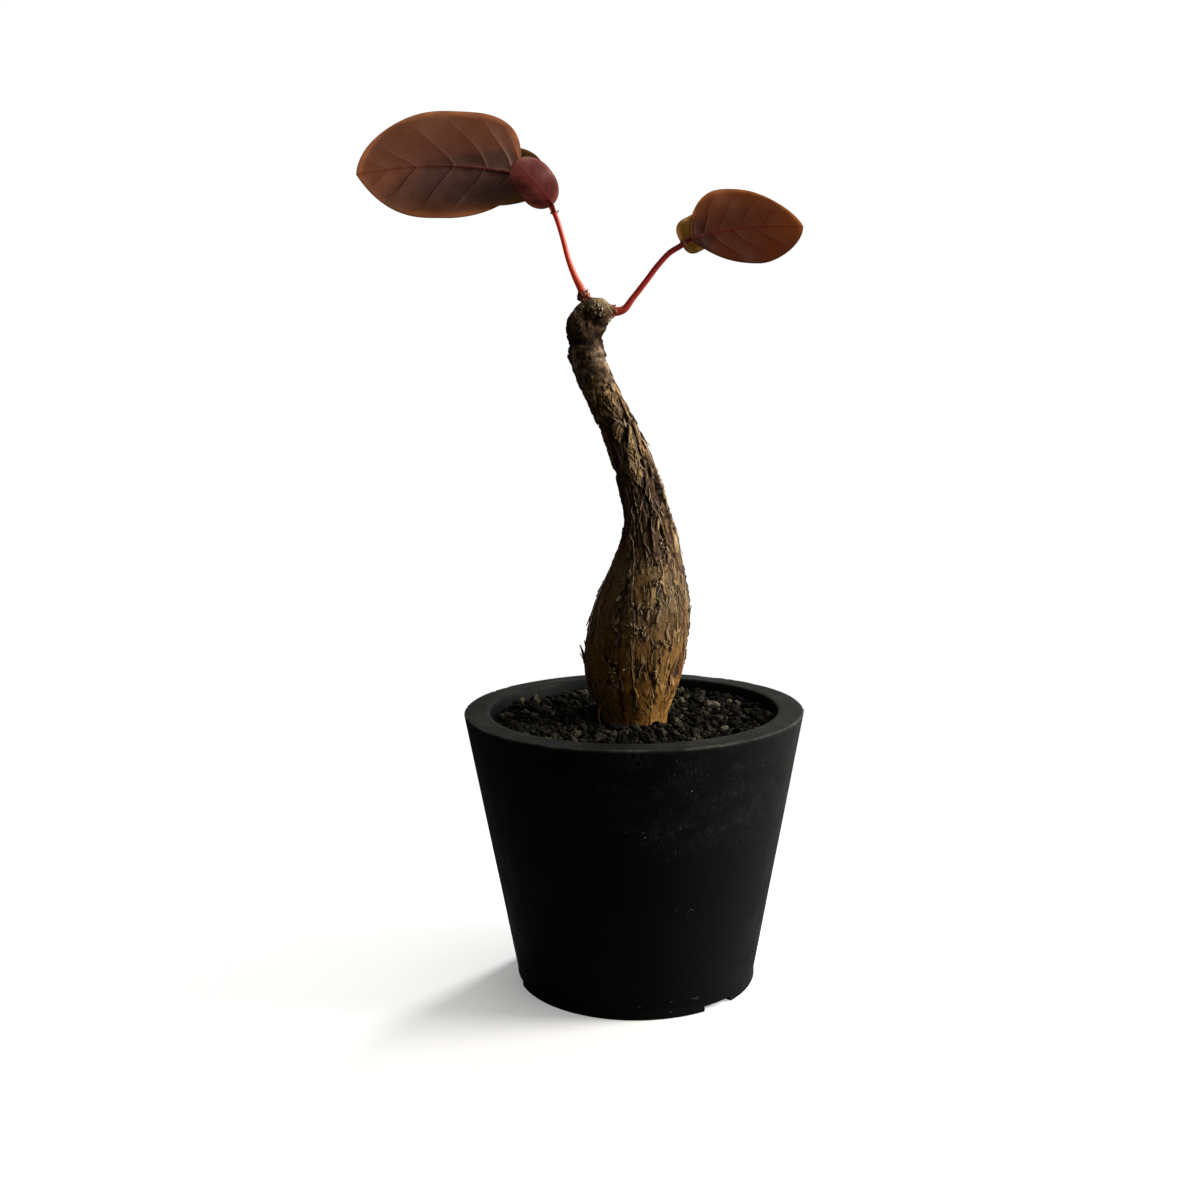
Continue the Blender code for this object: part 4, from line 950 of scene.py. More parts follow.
def leaf_material(name, tones):
    """A thin leaf: a soft underside with veins that are pale on the upper half as painted highlight, a darker
    upper side, and light that comes through it. Its backlit edge glow, paler lower half and low edge are
    painted light, as is the pale foot of the maroon and rust leaves, and a painted shadow of the leaf behind
    darkens it.
    """
    made = material_nodes(name)
    rib, vein, edge, line, high, warm, low_edge, foot, veiled = (made.value(key) for key in BLADE_KEYS)
    under = made.value("under")
    veins = rib.or_more(vein)
    mottle = made.cloud(3.2, detail=6.0, roughness=0.62).spread(0.32, 0.7)
    edge = edge * made.cloud(2.6, detail=4.0).spread(0.3, 0.65, 0.5, 1.0)
    below = made.blend(
        tones.middle,
        (mottle, tones.dark),
        # Painted light: the lower half is lightened where it faces away from the light
        (0.6 - high * 0.6, tones.low),
        # warm also carries the painted light of the low edge
        (warm * 0.8, tones.warm),
        # Painted shadow of the leaf behind
        (veiled * 0.75, tones.veil),
        # Painted light at the base of the maroon and rust leaves, elsewhere the base's own tone
        (foot, tones.foot),
        # Painted backlit glow along the outline
        (edge, tones.edge),
        (line, (58, 30, 20)),
        # Veins paler on the upper half, as painted highlight, than on the lower
        (vein * 0.75, made.blend(tones.low_vein, (high, tones.vein))),
        (rib * 0.8, tones.rib),
    )
    above = made.blend(
        tones.upper,
        (mottle, tones.dark),
        (veins * 0.6, (132, 92, 70)),
        # Painted backlit glow along the outline
        (edge * 0.8, tones.edge),
    )
    cells = made.cloud(0.45, detail=3.0).spread(0.35, 0.7, 0.82, 1.12)
    base = made.shade(made.blend(above, (under, below)), cells)
    shine = under.spread(0.0, 1.0, 0.38, 0.55)
    gloss = made.surface(base, shine, 0.2, made.cloud(0.4, detail=3.0), 0.04)
    glow = made.blend(
        tones.through,
        (edge, tones.through_edge),
        # Painted light: more comes through the low edge
        ((low_edge * 0.55).or_more(warm * 0.12), tones.through_edge),
        # The painted shadow of the leaf behind dims what comes through
        (veiled * 0.55, (60, 34, 28)),
        (line, (80, 40, 20)),
        (veins * 0.5, (150, 30, 26)),
    )
    return made.finish(made.lit_through(gloss, glow, tones.share))


def dust_material():
    """Pale dust, and scuffs that are hardly paler than the plastic."""
    made = material_nodes("pale dust")
    pale = made.blend((58, 60, 54), (made.cloud(0.5), (150, 148, 138)))
    return made.finish(made.surface(made.blend((46, 49, 44), (made.value("grain"), pale)), 0.9, 0.2))


# Pot


def pot_inner_radius(z):
    """The radius of the pot's inside at a height."""
    low = FOOT_RADIUS - LOW_WALL
    return low + (RIM_INNER_RADIUS - low) * (z - FLOOR_TOP) / (POT_HEIGHT - FLOOR_TOP)


def pot_profile():
    """Half of the pot's section as radius and height, from the floor's middle inside, up, over and down."""
    hollow = FOOT_RADIUS - FOOT_WALL
    corners = (
        (POT_CORE, FLOOR_TOP),
        (pot_inner_radius(FLOOR_TOP) - 1.2, FLOOR_TOP),
        (pot_inner_radius(FLOOR_TOP), FLOOR_TOP + 1.2),
        (pot_inner_radius(POT_HEIGHT - 0.6), POT_HEIGHT - 0.6),
        (RIM_INNER_RADIUS + 0.07, POT_HEIGHT - 0.17),
        (RIM_INNER_RADIUS + 0.4, POT_HEIGHT),
        (RIM_RADIUS - RIM_EDGE, POT_HEIGHT),
        (RIM_RADIUS - 0.22, POT_HEIGHT - 0.07),
        (RIM_RADIUS - 0.05, POT_HEIGHT - 0.22),
        (RIM_RADIUS, POT_HEIGHT - RIM_EDGE),
        (FOOT_RADIUS + FOOT_BAND_STEP, FOOT_BAND),
        (FOOT_RADIUS, FOOT_BAND - FOOT_EDGE),
        (FOOT_RADIUS, FOOT_EDGE),
        (FOOT_RADIUS - 0.1, 0.09),
        (FOOT_RADIUS - FOOT_EDGE, 0.0),
        (hollow, 0.0),
        (hollow - FOOT_EDGE, FLOOR_LIFT),
        (POT_CORE, FLOOR_LIFT),
    )
    profile = []
    for (r0, z0), (r1, z1) in zip(corners, corners[1:]):
        steps = max(1, math.ceil(math.hypot(r1 - r0, z1 - z0) / POT_STEP))
        profile += [(r0 + (r1 - r0) * i / steps, z0 + (z1 - z0) * i / steps) for i in range(steps)]
    return profile + [corners[-1]]


def notch_lift(angle, z):
    """How far a point of the foot ring is raised where a notch runs through it."""
    off = min(abs(math.remainder(angle - middle, math.tau)) for middle in NOTCH_MIDDLES)
    return max(NOTCH_HEIGHT - z, 0.0) if off < NOTCH_HALF_ANGLE else 0.0


def pot_angles():
    """Angles round the pot, with a close pair at each side of each notch."""
    angles = [math.tau * k / POT_SIDES for k in range(POT_SIDES)]
    for middle in NOTCH_MIDDLES:
        for side in (-NOTCH_HALF_ANGLE, NOTCH_HALF_ANGLE):
            angles += [(middle + side + shift) % math.tau for shift in (-NOTCH_SLOPE, NOTCH_SLOPE)]
    return sorted(angles)


def pot_wear(angle, radius, z):
    """Small nicks and waves of the moulding, as a change of radius and of height."""
    where = Vector(at_angle(angle, radius, z))
    wave = 0.05 * noise.noise(where / 16.0)
    at_rim = ramp(z, POT_HEIGHT - 1.4, POT_HEIGHT - 0.2) * ramp(radius, RIM_RADIUS - 1.6, RIM_RADIUS - 0.3)
    nick = max(noise.noise(where / 1.9) - 0.28, 0.0) + max(noise.noise(where / 5.2) - 0.34, 0.0)
    sag = 0.04 * noise.noise(where / 9.0) - 0.04 if z > POT_HEIGHT - 0.5 else 0.0
    return min(wave, 0.0) - 0.42 * at_rim * nick, sag - 0.3 * at_rim * nick


def make_pot():
    """The pot's shell, turned round its axis, with notches in its foot ring and holes in its floor."""
    profile, angles = pot_profile(), pot_angles()
    points = []
    for radius, z in profile:
        for angle in angles:
            out, lift = pot_wear(angle, radius, z)
            low = radius > FOOT_RADIUS - FOOT_WALL - 0.4 and z < NOTCH_HEIGHT
            height = z + lift + (notch_lift(angle, z) if low else 0.0)
            points.append(at_angle(angle, radius + out, height))
    pot = mesh_piece("pot_shell", points, tube_faces(len(profile), len(angles)))
    open_drains(pot)
    pot.data.set_sharp_from_angle(angle=math.radians(50))
    dress(pot, plastic_material(), "pot")


def bmesh_data(name, bm):
    """A mesh from what was built with bmesh."""
    mesh = bpy.data.meshes.new(name)
    bm.to_mesh(mesh)
    bm.free()
    return mesh


def open_drains(pot):
    """Cuts the drain holes through the pot's floor."""
    bm = bmesh.new()
    angles = [NOTCH_ANGLE + math.tau * (i + 0.5) / DRAIN_HOLES for i in range(DRAIN_HOLES)]
    middles = [(0.0, 0.0, CENTRE_DRAIN_RADIUS)] + [(angle, DRAIN_CIRCLE, DRAIN_RADIUS) for angle in angles]
    for angle, out, radius in middles:
        place = (Vector(at_angle(angle, out, FLOOR_LIFT + FLOOR_THICKNESS / 2)) + AXIS) * MM
        bmesh.ops.create_cone(
            bm, cap_ends=True, segments=DRAIN_SIDES, radius1=radius * MM, radius2=radius * MM,
            depth=3 * FLOOR_THICKNESS * MM, matrix=Matrix.Translation(place),
        )
    cutter = show("drains", bmesh_data("drains", bm))
    cut = pot.modifiers.new("drains", "BOOLEAN")
    cut.operation = "DIFFERENCE"
    cut.object = cutter
    graph = bpy.context.evaluated_depsgraph_get()
    opened = bpy.data.meshes.new_from_object(pot.evaluated_get(graph))
    pot.modifiers.clear()
    pot.data = opened
    bpy.data.objects.remove(cutter, do_unlink=True)


# Soil


def lump(draw, subdivisions):
    """Points and faces of a rough rounded lump about one millimetre in radius."""
    bm = bmesh.new()
    bmesh.ops.create_icosphere(bm, subdivisions=subdivisions, radius=1.0)
    shift = any_way(draw, 50)
    for vert in bm.verts:
        way = vert.co.copy()
        relief = 0.5 * noise.noise(way * 1.2 + shift) + 0.2 * noise.noise(way * 5.0 + shift)
        relief += 0.6 * (0.42 - noise.voronoi(way * 1.7 + shift)[0][0])
        vert.co = way * (0.95 + relief)
    bm.verts.ensure_lookup_table()
    points = np.array([vert.co for vert in bm.verts])
    faces = [[vert.index for vert in face.verts] for face in bm.faces]
    bm.free()
    return points, faces


def add_lump(heap, chosen, shape, place, **values):
    """One lump, turned and sized by a matrix, at a place."""
    points, faces = chosen
    heap.add(points @ np.array(shape) + np.array(place), faces, **values)


def top_of_soil(x, y):
    """The level that the grit fills to: nearly flat, with a hollow behind the stem's left side."""
    hollow = math.exp(-((Vector((x, y)) - HOLLOW).length / HOLLOW_RADIUS) ** 2 * 2.0)
    wave = 0.5 * noise.noise(Vector((x, y, 0.0)) / 9.0)
    return SOIL_LEVEL + 0.55 + wave - HOLLOW_DEPTH * hollow


class GritBed:
    """Lumps of grit that fall one by one and come to rest on those below."""

    CELL = 5.0
    FIT = 0.86  # two lumps touch when their middles are this share of their radii apart

    def __init__(self):
        self.cells = defaultdict(list)

    def drop(self, x, y, radius, above):
        """The height at which a lump comes to rest, or None if it would stand over the surface."""
        top = top_of_soil(x, y)
        height = top - BED_DEPTH + radius * 0.5
        column, row = int(x // self.CELL), int(y // self.CELL)
        for i, j in product((-1, 0, 1), repeat=2):
            for other in self.cells[column + i, row + j]:
                reach = (radius + other[3]) * self.FIT
                apart = (x - other[0]) ** 2 + (y - other[1]) ** 2
                if apart < reach * reach:
                    height = max(height, other[2] + math.sqrt(reach * reach - apart))
        if height + 0.55 * radius > top + above:
            return None
        self.cells[column, row].append((x, y, height, radius))
        return height


def add_stones(heap, draw):
    """The few pale stones that lie on top."""
    for x, y, length, width, turn, grain in STONES:
        shape = Matrix.Rotation(turn, 3, "Z") @ Matrix.Diagonal((length / 2, width / 2, width / 2.4))
        place = (x, y, top_of_soil(x, y) + 0.1)
        add_lump(heap, lump(draw, 3), shape.transposed(), place, grain=grain)


def make_grit(material):
    """The bed's grains in three sizes, each dropped where there is room for it."""
    draw = random.Random(SEED)
    bed = GritBed()
    wall = pot_inner_radius(SOIL_LEVEL) - 0.25
    for grit in GRITS:
        shapes = [lump(draw, grit.detail) for _ in range(LUMP_SHAPES)]
        heap = Heap("grain")
        placed = 0
        for _ in range(grit.tries):
            if placed == grit.most:
                break
            radius = grit.low + (grit.high - grit.low) * draw.random() ** 1.3
            out = math.sqrt(draw.uniform((STEM_CLEARANCE + 0.4 * radius) ** 2, (wall - radius) ** 2))
            turn = draw.uniform(0.0, math.tau)
            x, y = 0.5 + out * math.cos(turn), out * math.sin(turn)
            if math.hypot(x, y) > wall - 0.95 * radius:
                continue
            height = bed.drop(x, y, radius, grit.above)
            if height is None:
                continue
            chosen = draw.choice(shapes)
            spin = Matrix.Rotation(draw.uniform(0, math.tau), 3, Vector([draw.gauss(0, 1) for _ in range(3)]))
            slim = (draw.uniform(0.85, 1.3), draw.uniform(0.75, 1.05), draw.uniform(0.75, 0.95))
            flat = Matrix.Rotation(turn, 3, "Z") @ Matrix.Diagonal(slim)
            grain = min(max(draw.gauss(GRAIN_MIDDLE, GRAIN_SPREAD), 0.0), GRAIN_MOST)
            # Darker in the hollow: partly painted shadow of the stem, partly dark debris
            grain *= 1 - HOLLOW_SHADOW_AND_DEBRIS * ramp(HOLLOW_RADIUS - (Vector((x, y)) - HOLLOW).length, -2.0, 2.0)
            shape = np.array(flat @ spin) * radius
            add_lump(heap, chosen, shape.T, (x, y, height), grain=grain)
            placed += 1
        if grit is GRITS[0]:
            add_stones(heap, draw)
        dress(heap.piece(grit.name), material, "soil")


def make_bed(material):
    """The plain filling under the grit, down to the pot's floor."""
    floor = FLOOR_TOP + SOIL_GAP
    wall_low, wall_high = pot_inner_radius(floor) - SOIL_GAP, pot_inner_radius(SOIL_LEVEL) - SOIL_GAP
    profile = [(BED_CORE, floor), (wall_low, floor), (wall_high, SOIL_LEVEL - 2.0)]
    for i in range(1, BED_STEPS + 1):
        profile.append((wall_high - (wall_high - BED_CORE) * i / BED_STEPS, SOIL_LEVEL - 2.0))
    points = []
    for row, (radius, z) in enumerate(profile):
        for k in range(BED_SIDES):
            x, y, _ = at_angle(math.tau * k / BED_SIDES, radius)
            if row > 2:
                z = top_of_soil(x, y) - BED_DEPTH + 0.7 * noise.noise(Vector((x, y, 0.0)) / 2.2)
            points.append((x, y, z))
    faces = tube_faces(len(profile), BED_SIDES)
    dress(mesh_piece("soil_bed", points, faces, {"grain": np.zeros(len(points))}), material, "soil")


# Caudex


def stem_section(z):
    """The middle and the half width of the stem at a height."""
    x, y, width = between(CAUDEX_STATIONS, z)
    return Vector((x, y, z)), width / 2


def knob_reach(angle, z, middle):
    """How far the head's knobs reach out from the stem's middle in one direction, or 0."""
    way = Vector(at_angle(angle)[:2])
    reach = 0.0
    for x, y, height, radius in HEAD_KNOBS:
        if abs(z - height) >= radius:
            continue
        apart = Vector((x - middle.x, y - middle.y))
        forward = apart.dot(way)
        left = radius**2 - (z - height) ** 2 - (apart.length_squared - forward**2)
        if left > 0:
            reach = max(reach, forward + math.sqrt(left))
    return reach


def soft_max(first, second, softness):
    """The larger of two numbers, with a rounded change from one to the other."""
    share = min(max(0.5 + 0.5 * (first - second) / softness, 0.0), 1.0)
    return second + (first - second) * share + softness * share * (1 - share)


def push(place):
    """A noise of three values at a place, the same in every run."""
    return Vector([noise.noise(place + shift) for shift in PUSH_SHIFTS])


def plates(place, angle, layer):
    """Height, furrow and own number of the plate of bark at a place."""
    up = (place.z + layer.slant * place.x) / layer.length
    where = Vector((place.x / layer.width, place.y / layer.width, up))
    distances, middles = noise.voronoi(where)
    own = middles[0]
    number = noise.cell(own * 17.0)
    other = noise.cell(own * 31.0 + Vector((3.0, 5.0, 7.0)))
    off = where - own
    across = -off.x * math.sin(angle) + off.y * math.cos(angle)
    height = layer.level * (number - 0.5) - layer.lift * off.z + layer.roll * (other - 0.5) * 2 * across
    furrow = 1 - ramp(distances[1] - distances[0], 0.0, 0.09)
    return height - layer.depth * furrow, furrow, number


def fissures(around, z):
    """Long broken cracks up and down the stem, from 0 to 1, and the lips that stand up beside them."""
    crack, lip = 0.0, 0.0
    for width, height, narrow in FISSURES:
        x, y = around.x / width, around.y / width
        run = rough(x, y, z / height + width)
        broken = ramp(rough(x / 1.4, y / 1.4, 2.6 * z / height + 9.0), -0.12, 0.12)
        crack = max(crack, (1 - ramp(abs(run), 0.0, narrow)) * broken)
        lip = max(lip, (1 - ramp(abs(run - 1.5 * narrow), 0.0, narrow)) * broken)
    return crack, lip


def near_line(angle, z, radius, lines, width):
    """How near a place of the stem is to the marked lines, from 0 to 1."""
    nearest = 0.0
    for (first_angle, first_z), (last_angle, last_z) in lines:
        share = min(max((z - first_z) / (last_z - first_z), 0.0), 1.0)
        line_angle = math.radians(first_angle + (last_angle - first_angle) * share)
        line_z = first_z + (last_z - first_z) * share
        across = math.remainder(angle - line_angle, math.tau) * radius + 0.35 * math.sin(1.9 * z)
        nearest = max(nearest, 1 - ramp(math.hypot(across, z - line_z), 0.0, width))
    return nearest


def head_dents(angle, z, radius):
    """How deep the dents of the head are at a place, in millimetres."""
    depth = 0.0
    for degrees, height, size, deep in HEAD_DENTS:
        across = math.remainder(angle - math.radians(degrees), math.tau) * radius
        depth += deep * math.exp(-(across**2 + (z - height) ** 2) / size**2)
    return depth * ramp(z, 161.0, 163.0)


def dark_collar(angle, z, place):
    """The sunk dark ring under the head, from 0 to 1, lower and fainter on the right; its darkness is painted
    shade under the head.
    """
    step_up = z - 2.0 * ramp(math.cos(angle), 0.1, 0.9) - 0.7 * noise.noise(place / 1.6)
    return window(step_up, *COLLAR_ZONE) * (1 - 0.5 * ramp(math.cos(angle), 0.4, 0.9))


def calm_patch(angle, z):
    """The smoother bark on the left of the belly, from 0 to 1."""
    degrees = math.degrees(math.remainder(angle, math.tau))
    return window(degrees, *CALM_ANGLES) * window(z, *CALM_ZONE)


def is_bare(degrees, z, edges):
    """Whether a place is on the calm patch, which gets no flakes or seams by chance."""
    return BARE_HEIGHTS[0] < z < BARE_HEIGHTS[1] and edges[0] < degrees < edges[1]


def bark(angle, z):
    """The bark at a place of the stem: its radius, furrow, plate's number, lip, and how calm it is."""
    middle, radius = stem_section(z)
    place = middle + Vector(at_angle(angle, radius))
    around = Vector(at_angle(angle)) * radius
    lumps = noise.noise(around / 12.6 + Vector((5.0, 3.0, z / 12.0)))
    swell = noise.noise(around / 4.2 + Vector((0.0, 0.0, z / 15.0)))
    neck = window(z, *NECK_ZONE)
    head = ramp(z, *HEAD_FROM)
    trunk = window(z, *TRUNK_ZONE)
    belly = 1 - ramp(z, *TRUNK_ZONE[:2])
    calm = calm_patch(angle, z)
    ragged = push(place / 2.0) * 0.3 + push(place / 8.0) * 0.8
    ragged.z *= 4.0
    torn = place + ragged
    long_height, long_furrow, number = plates(torn, angle, LONG_PLATES)
    scale_height, scale_furrow, scale_number = plates(torn, angle, SCALES)
    chip_height, _, chip_number = plates(torn, angle, CHIPS)
    crack, lip = fissures(around + ragged * 0.5, z)
    crack *= (1 - 0.9 * calm) * (0.3 + 0.7 * ramp(z, 72.0, 80.0))
    crack = max(crack, near_line(angle, z, radius, MARKED_CRACKS, 0.7)) * (belly + 0.8 * trunk)
    marked = near_line(angle, z, radius, MARKED_RIDGES, 0.75)
    lip = max(0.7 * lip * (1 - calm), marked) * (belly + trunk)
    rough_belly = belly * (1 - calm) * ramp(noise.noise(place / 9.0 + Vector((4.0, 1.0, 8.0))), -0.5, 0.2)
    rough_belly *= 0.3 + 0.7 * ramp(z, 74.0, 83.0)
    long_share = BELLY_LONG * rough_belly
    scale_share = trunk + BELLY_SCALES * rough_belly
    chip_share = TRUNK_CHIPS * trunk + BELLY_CHIPS * rough_belly + UPPER_CHIPS * (neck + head)
    relief = long_share * long_height + scale_share * scale_height + chip_share * chip_height
    fibre = rough(around.x / 0.75, around.y / 0.75, z / 9.0)
    fine = noise.noise(place / 0.7)
    relief += (BELLY_FIBRE * belly + TRUNK_FIBRE * trunk) * fibre + FINE_GRAIN * fine
    relief += LIP_HEIGHT * lip - CRACK_DEPTH * crack
    size = min(radius / ROUGH_RADIUS, 1.0)
    relief += size * ((0.5 - 0.36 * belly) * swell + 0.7 * lumps) * (1 - 0.6 * neck)
    low, high = NECK_RINGS
    on_neck = ramp(z, low, low + NECK_FADES[0]) * ramp(z, high, high - NECK_FADES[1])
    wave = math.sin(math.tau * z / NECK_RING_PITCH + NECK_RING_TILT * math.sin(angle) + 1.5 * lumps)
    relief += NECK_RING_RELIEF * on_neck * wave
    relief += 0.26 * max(head, 0.7 * on_neck) * noise.noise(place / 1.9)
    relief += 0.15 * max(head, on_neck) * noise.noise(place / 0.8)
    collar = dark_collar(angle, z, place)
    relief -= COLLAR_DEPTH * collar
    dents = head_dents(angle, z, radius)
    body = radius + relief * (1 - 0.3 * head) - dents - HEAD_WAIST * ramp(z, 162.5, 165.5)
    grown = soft_max(body, knob_reach(angle, z, middle) + relief - dents, 1.3)
    scale_furrow *= min(scale_share, 1.0)
    # Dents and the collar add painted shade to the furrow value; the plates' furrows and cracks are dark
    # joints
    furrow = max(long_share * long_furrow, scale_furrow, crack, 0.9 * dents, collar)
    plate = 0.5 + trunk * (0.7 * scale_number + 0.3 * chip_number - 0.5) + long_share * (number - 0.5)
    return grown, min(furrow, 1.0), plate, lip, calm


def stem_point(angle, z, grow=0.0):
    """A point of the stem's surface, or further out."""
    middle, _ = stem_section(z)
    radius = bark(angle, z)[0] + grow
    return middle + Vector((radius * math.cos(angle), CAUDEX_DEPTH_RATIO * radius * math.sin(angle), 0.0))


def up_the_stem(angle, z, reach):
    """The direction up the stem's surface at a place."""
    return (stem_point(angle, z + reach) - stem_point(angle, z - reach)).normalized()


def box_mean(grid, size):
    """The mean of a grid round each of its points, with the columns joined in a ring."""
    count = 2 * size + 1
    wide = sum(np.roll(grid, step, axis=1) for step in range(-size, size + 1)) / count
    tall = np.pad(wide, ((size, size), (0, 0)), mode="edge")
    return sum(tall[step:step + len(grid)] for step in range(count)) / count


def make_caudex():
    """The bark's surface, with values for what stands out of it and what lies deep."""
    rows = round((CAUDEX_CROWN - CAUDEX_FOOT) / CAUDEX_STEP)
    points, found = [], []
    for row in range(rows + 1):
        z = CAUDEX_FOOT + (CAUDEX_CROWN - CAUDEX_FOOT) * row / rows
        middle, _ = stem_section(z)
        for k in range(CAUDEX_SIDES):
            angle = math.tau * k / CAUDEX_SIDES
            found.append(bark(angle, z))
            radius = found[-1][0]
            y = middle.y + CAUDEX_DEPTH_RATIO * radius * math.sin(angle)
            points.append((middle.x + radius * math.cos(angle), y, z))
    radii, furrows, numbers, lips, calms = np.array(found).T
    surface = radii.reshape(rows + 1, CAUDEX_SIDES)
    stand = (surface - box_mean(surface, 3)).ravel()
    values = {
        "furrow": furrows,
        "plate": numbers,
        "calm": calms,
        # hollow marks what lies below the surface round it, which the bark's finish darkens as painted shade
        "hollow": np.clip(-stand / 0.22 - 0.15, 0.0, 1.0),
        # ridge marks what stands out, and the lips, which the finish makes paler: partly bark tone, partly
        # painted highlight
        "ridge": np.maximum(np.clip(stand / 0.2 - 0.25, 0.0, 1.0), 0.8 * lips),
    }
    stem = mesh_piece("caudex_bark", points, tube_faces(rows + 1, CAUDEX_SIDES), values)
    dress(stem, bark_material(), "caudex")


def sheet(place, along, outward, length, width, lift, curl, thickness, draw, steps=8, columns=5):
    """Points and faces of a thin curled flake, from its root at a place to its loose end."""
    along = along.normalized()
    side = along.cross(outward).normalized()
    out = side.cross(along).normalized()
    wobble = [draw.uniform(-0.12, 0.12) for _ in range(columns)]
    front, back = np.zeros((2, steps, columns, 3))
    for i in range(steps):
        t = i / (steps - 1)
        half = width / 2 * (0.35 + 1.3 * t * (1.15 - t)) * (1.0 if t < 0.8 else 1 - 1.6 * (t - 0.8))
        for j in range(columns):
            s = 2 * j / (columns - 1) - 1
            reach = length * (t + wobble[j] * t * t)
            rise = lift * t * t + curl * (1 - s * s) * (0.3 + 0.7 * t)
            middle = place + along * reach + side * half * s + out * rise
            thin = thickness * (1 - 0.6 * t) / 2
            front[i, j] = middle + out * thin
            back[i, j] = middle - out * thin
    return shell(front, back)


def add_flake(heap, angle, z, length, width, tilt, way, draw, twist=0.0, pale=None):
    """One loose flake on the stem, with its free end up or down."""
    place = stem_point(angle, z, 0.05)
    outward = Vector(at_angle(angle))
    along = Matrix.Rotation(twist, 3, outward) @ (up_the_stem(angle, z, 3.0) * way)
    lift = length * math.tan(math.radians(tilt))
    points, faces = sheet(place, along, outward, length, width, lift, 0.1 * width, 0.22, draw)
    share = 0.3 * draw.random() ** 3 if pale is None else pale
    heap.add(points, faces, pale=share, dark=draw.uniform(0.0, 0.6), plate=draw.random())


def add_crumbs(heap, draw):
    """Crumbs and torn ends of bark that roughen the stem's outline; the dark ones are painted shade."""
    shapes = [lump(draw, 2) for _ in range(10)]
    for degrees, low, high, count, size, bright in CRUMB_LINES:
        for _ in range(count):
            angle, z = math.radians(degrees + draw.gauss(0, 9)), draw.uniform(low, high)
            outward = Vector(at_angle(angle))
            along = up_the_stem(angle, z, 2.0)
            grow = size * draw.uniform(0.5, 1.2)
            length = draw.uniform(1.0, 2.4)
            shape = Matrix((outward * grow * 0.7, along.cross(outward) * grow, along * grow * length))
            chosen = draw.choice(shapes)
            # Dark crumbs are painted shade; pale ones are crust
            pale, dark = (draw.uniform(0.1, 0.6), 0.0) if bright else (0.0, draw.uniform(0.5, 1.0))
            add_lump(heap, chosen, shape, stem_point(angle, z, 0.05), pale=pale, dark=dark, plate=0.3)


def make_flakes():
    """Loose flakes of bark over the trunk and the belly, with those that break the outline."""
    draw = random.Random(SEED + 1)
    heap = Heap("pale", "dark", "plate")
    for _ in range(CHANCE_FLAKES):
        z, angle = draw.uniform(74.0, 150.0), draw.uniform(-math.pi, math.pi)
        if is_bare(math.degrees(angle), z, BARE_OF_FLAKES):
            continue
        slim = 0.7 if z > 110.0 else 1.0
        length, width = draw.uniform(1.2, 3.4), draw.uniform(0.5, 1.3) * slim
        way = draw.choice((-1, -1, 1))
        add_flake(heap, angle, z, length, width, draw.uniform(1, 8), way, draw, draw.uniform(-0.5, 0.5))
    for degrees, z, length, width, tilt, way in MARKED_FLAKES:
        add_flake(heap, math.radians(degrees), z, length, 0.6 * width, 0.8 * tilt, way, draw, 0.0, 0.05)
    add_crumbs(heap, draw)
    dress(heap.piece("bark_flakes"), flake_material(), "caudex")


def add_seam(heap, line, gap_side, size, draw, pale=None):
    """The thin pale edge of a plate of bark, partly painted highlight, with a dark tube of painted shade in
    the gap beside it.
    """
    steps = 8 * (len(line) - 1)
    shift = draw.uniform(0.0, 50.0)
    edge, gap, radii = [], [], []
    for i, (degrees, z, _) in enumerate(along_curve([(angle, z, 0.0) for angle, z in line], steps)):
        around = max(stem_section(z)[1], 3.0)
        wander = 0.35 * rough(z * 0.8, shift, 0.0) + 0.16 * rough(z * 2.6, shift, 5.0)
        angle = math.radians(degrees) + wander / around
        swell = math.sin(math.pi * (i + 0.5) / (steps + 1)) ** 0.5
        edge.append(stem_point(angle, z, 0.3 * size))
        gap.append(stem_point(angle + gap_side * 1.4 * size / around, z, -0.3 * size))
        radii.append(size * swell * max(0.9 + 0.7 * rough(z * 1.1, shift, 9.0), 0.3))
    share, plate = draw.uniform(0.12, 0.4), draw.random()
    heap.add(*tube(edge, radii, 5), pale=share if pale is None else pale, dark=0.0, plate=plate)
    # The gap's dark tube is painted shade beside the edge
    heap.add(*tube(gap, [1.1 * radius for radius in radii], 5), pale=0.0, dark=0.95, plate=plate)


def add_torn_edge(heap, line, size):
    """A dark ragged edge that stands out of the stem's right side, its darkness painted shade."""
    course = along_curve([(math.radians(degrees), z, 0.0) for degrees, z in line], 60)
    path = [stem_point(angle, z) for angle, z, _ in course]
    radii = [size * max(0.75 + 1.1 * rough(z * 1.2, size, 0.0), 0.2) for _, z, _ in course]
    heap.add(*tube(path, radii, 6), pale=0.0, dark=0.85, plate=0.4)


def add_chance_seams(heap, draw):
    """Short seams anywhere but on the calm patch."""
    for _ in range(CHANCE_SEAMS):
        degrees, z = draw.uniform(-180.0, 180.0), draw.uniform(70.0, 146.0)
        if is_bare(degrees, z, BARE_OF_SEAMS):
            continue
        length, drift = draw.uniform(2.5, 9.0), draw.uniform(-16.0, 16.0)
        line = []
        for t in (0.0, 0.5, 1.0):
            line.append((degrees + drift * t + draw.uniform(-3.0, 3.0), min(z + length * t, 149.0)))
        add_seam(heap, line, draw.choice((-1, 1)), draw.uniform(0.08, 0.15), draw)


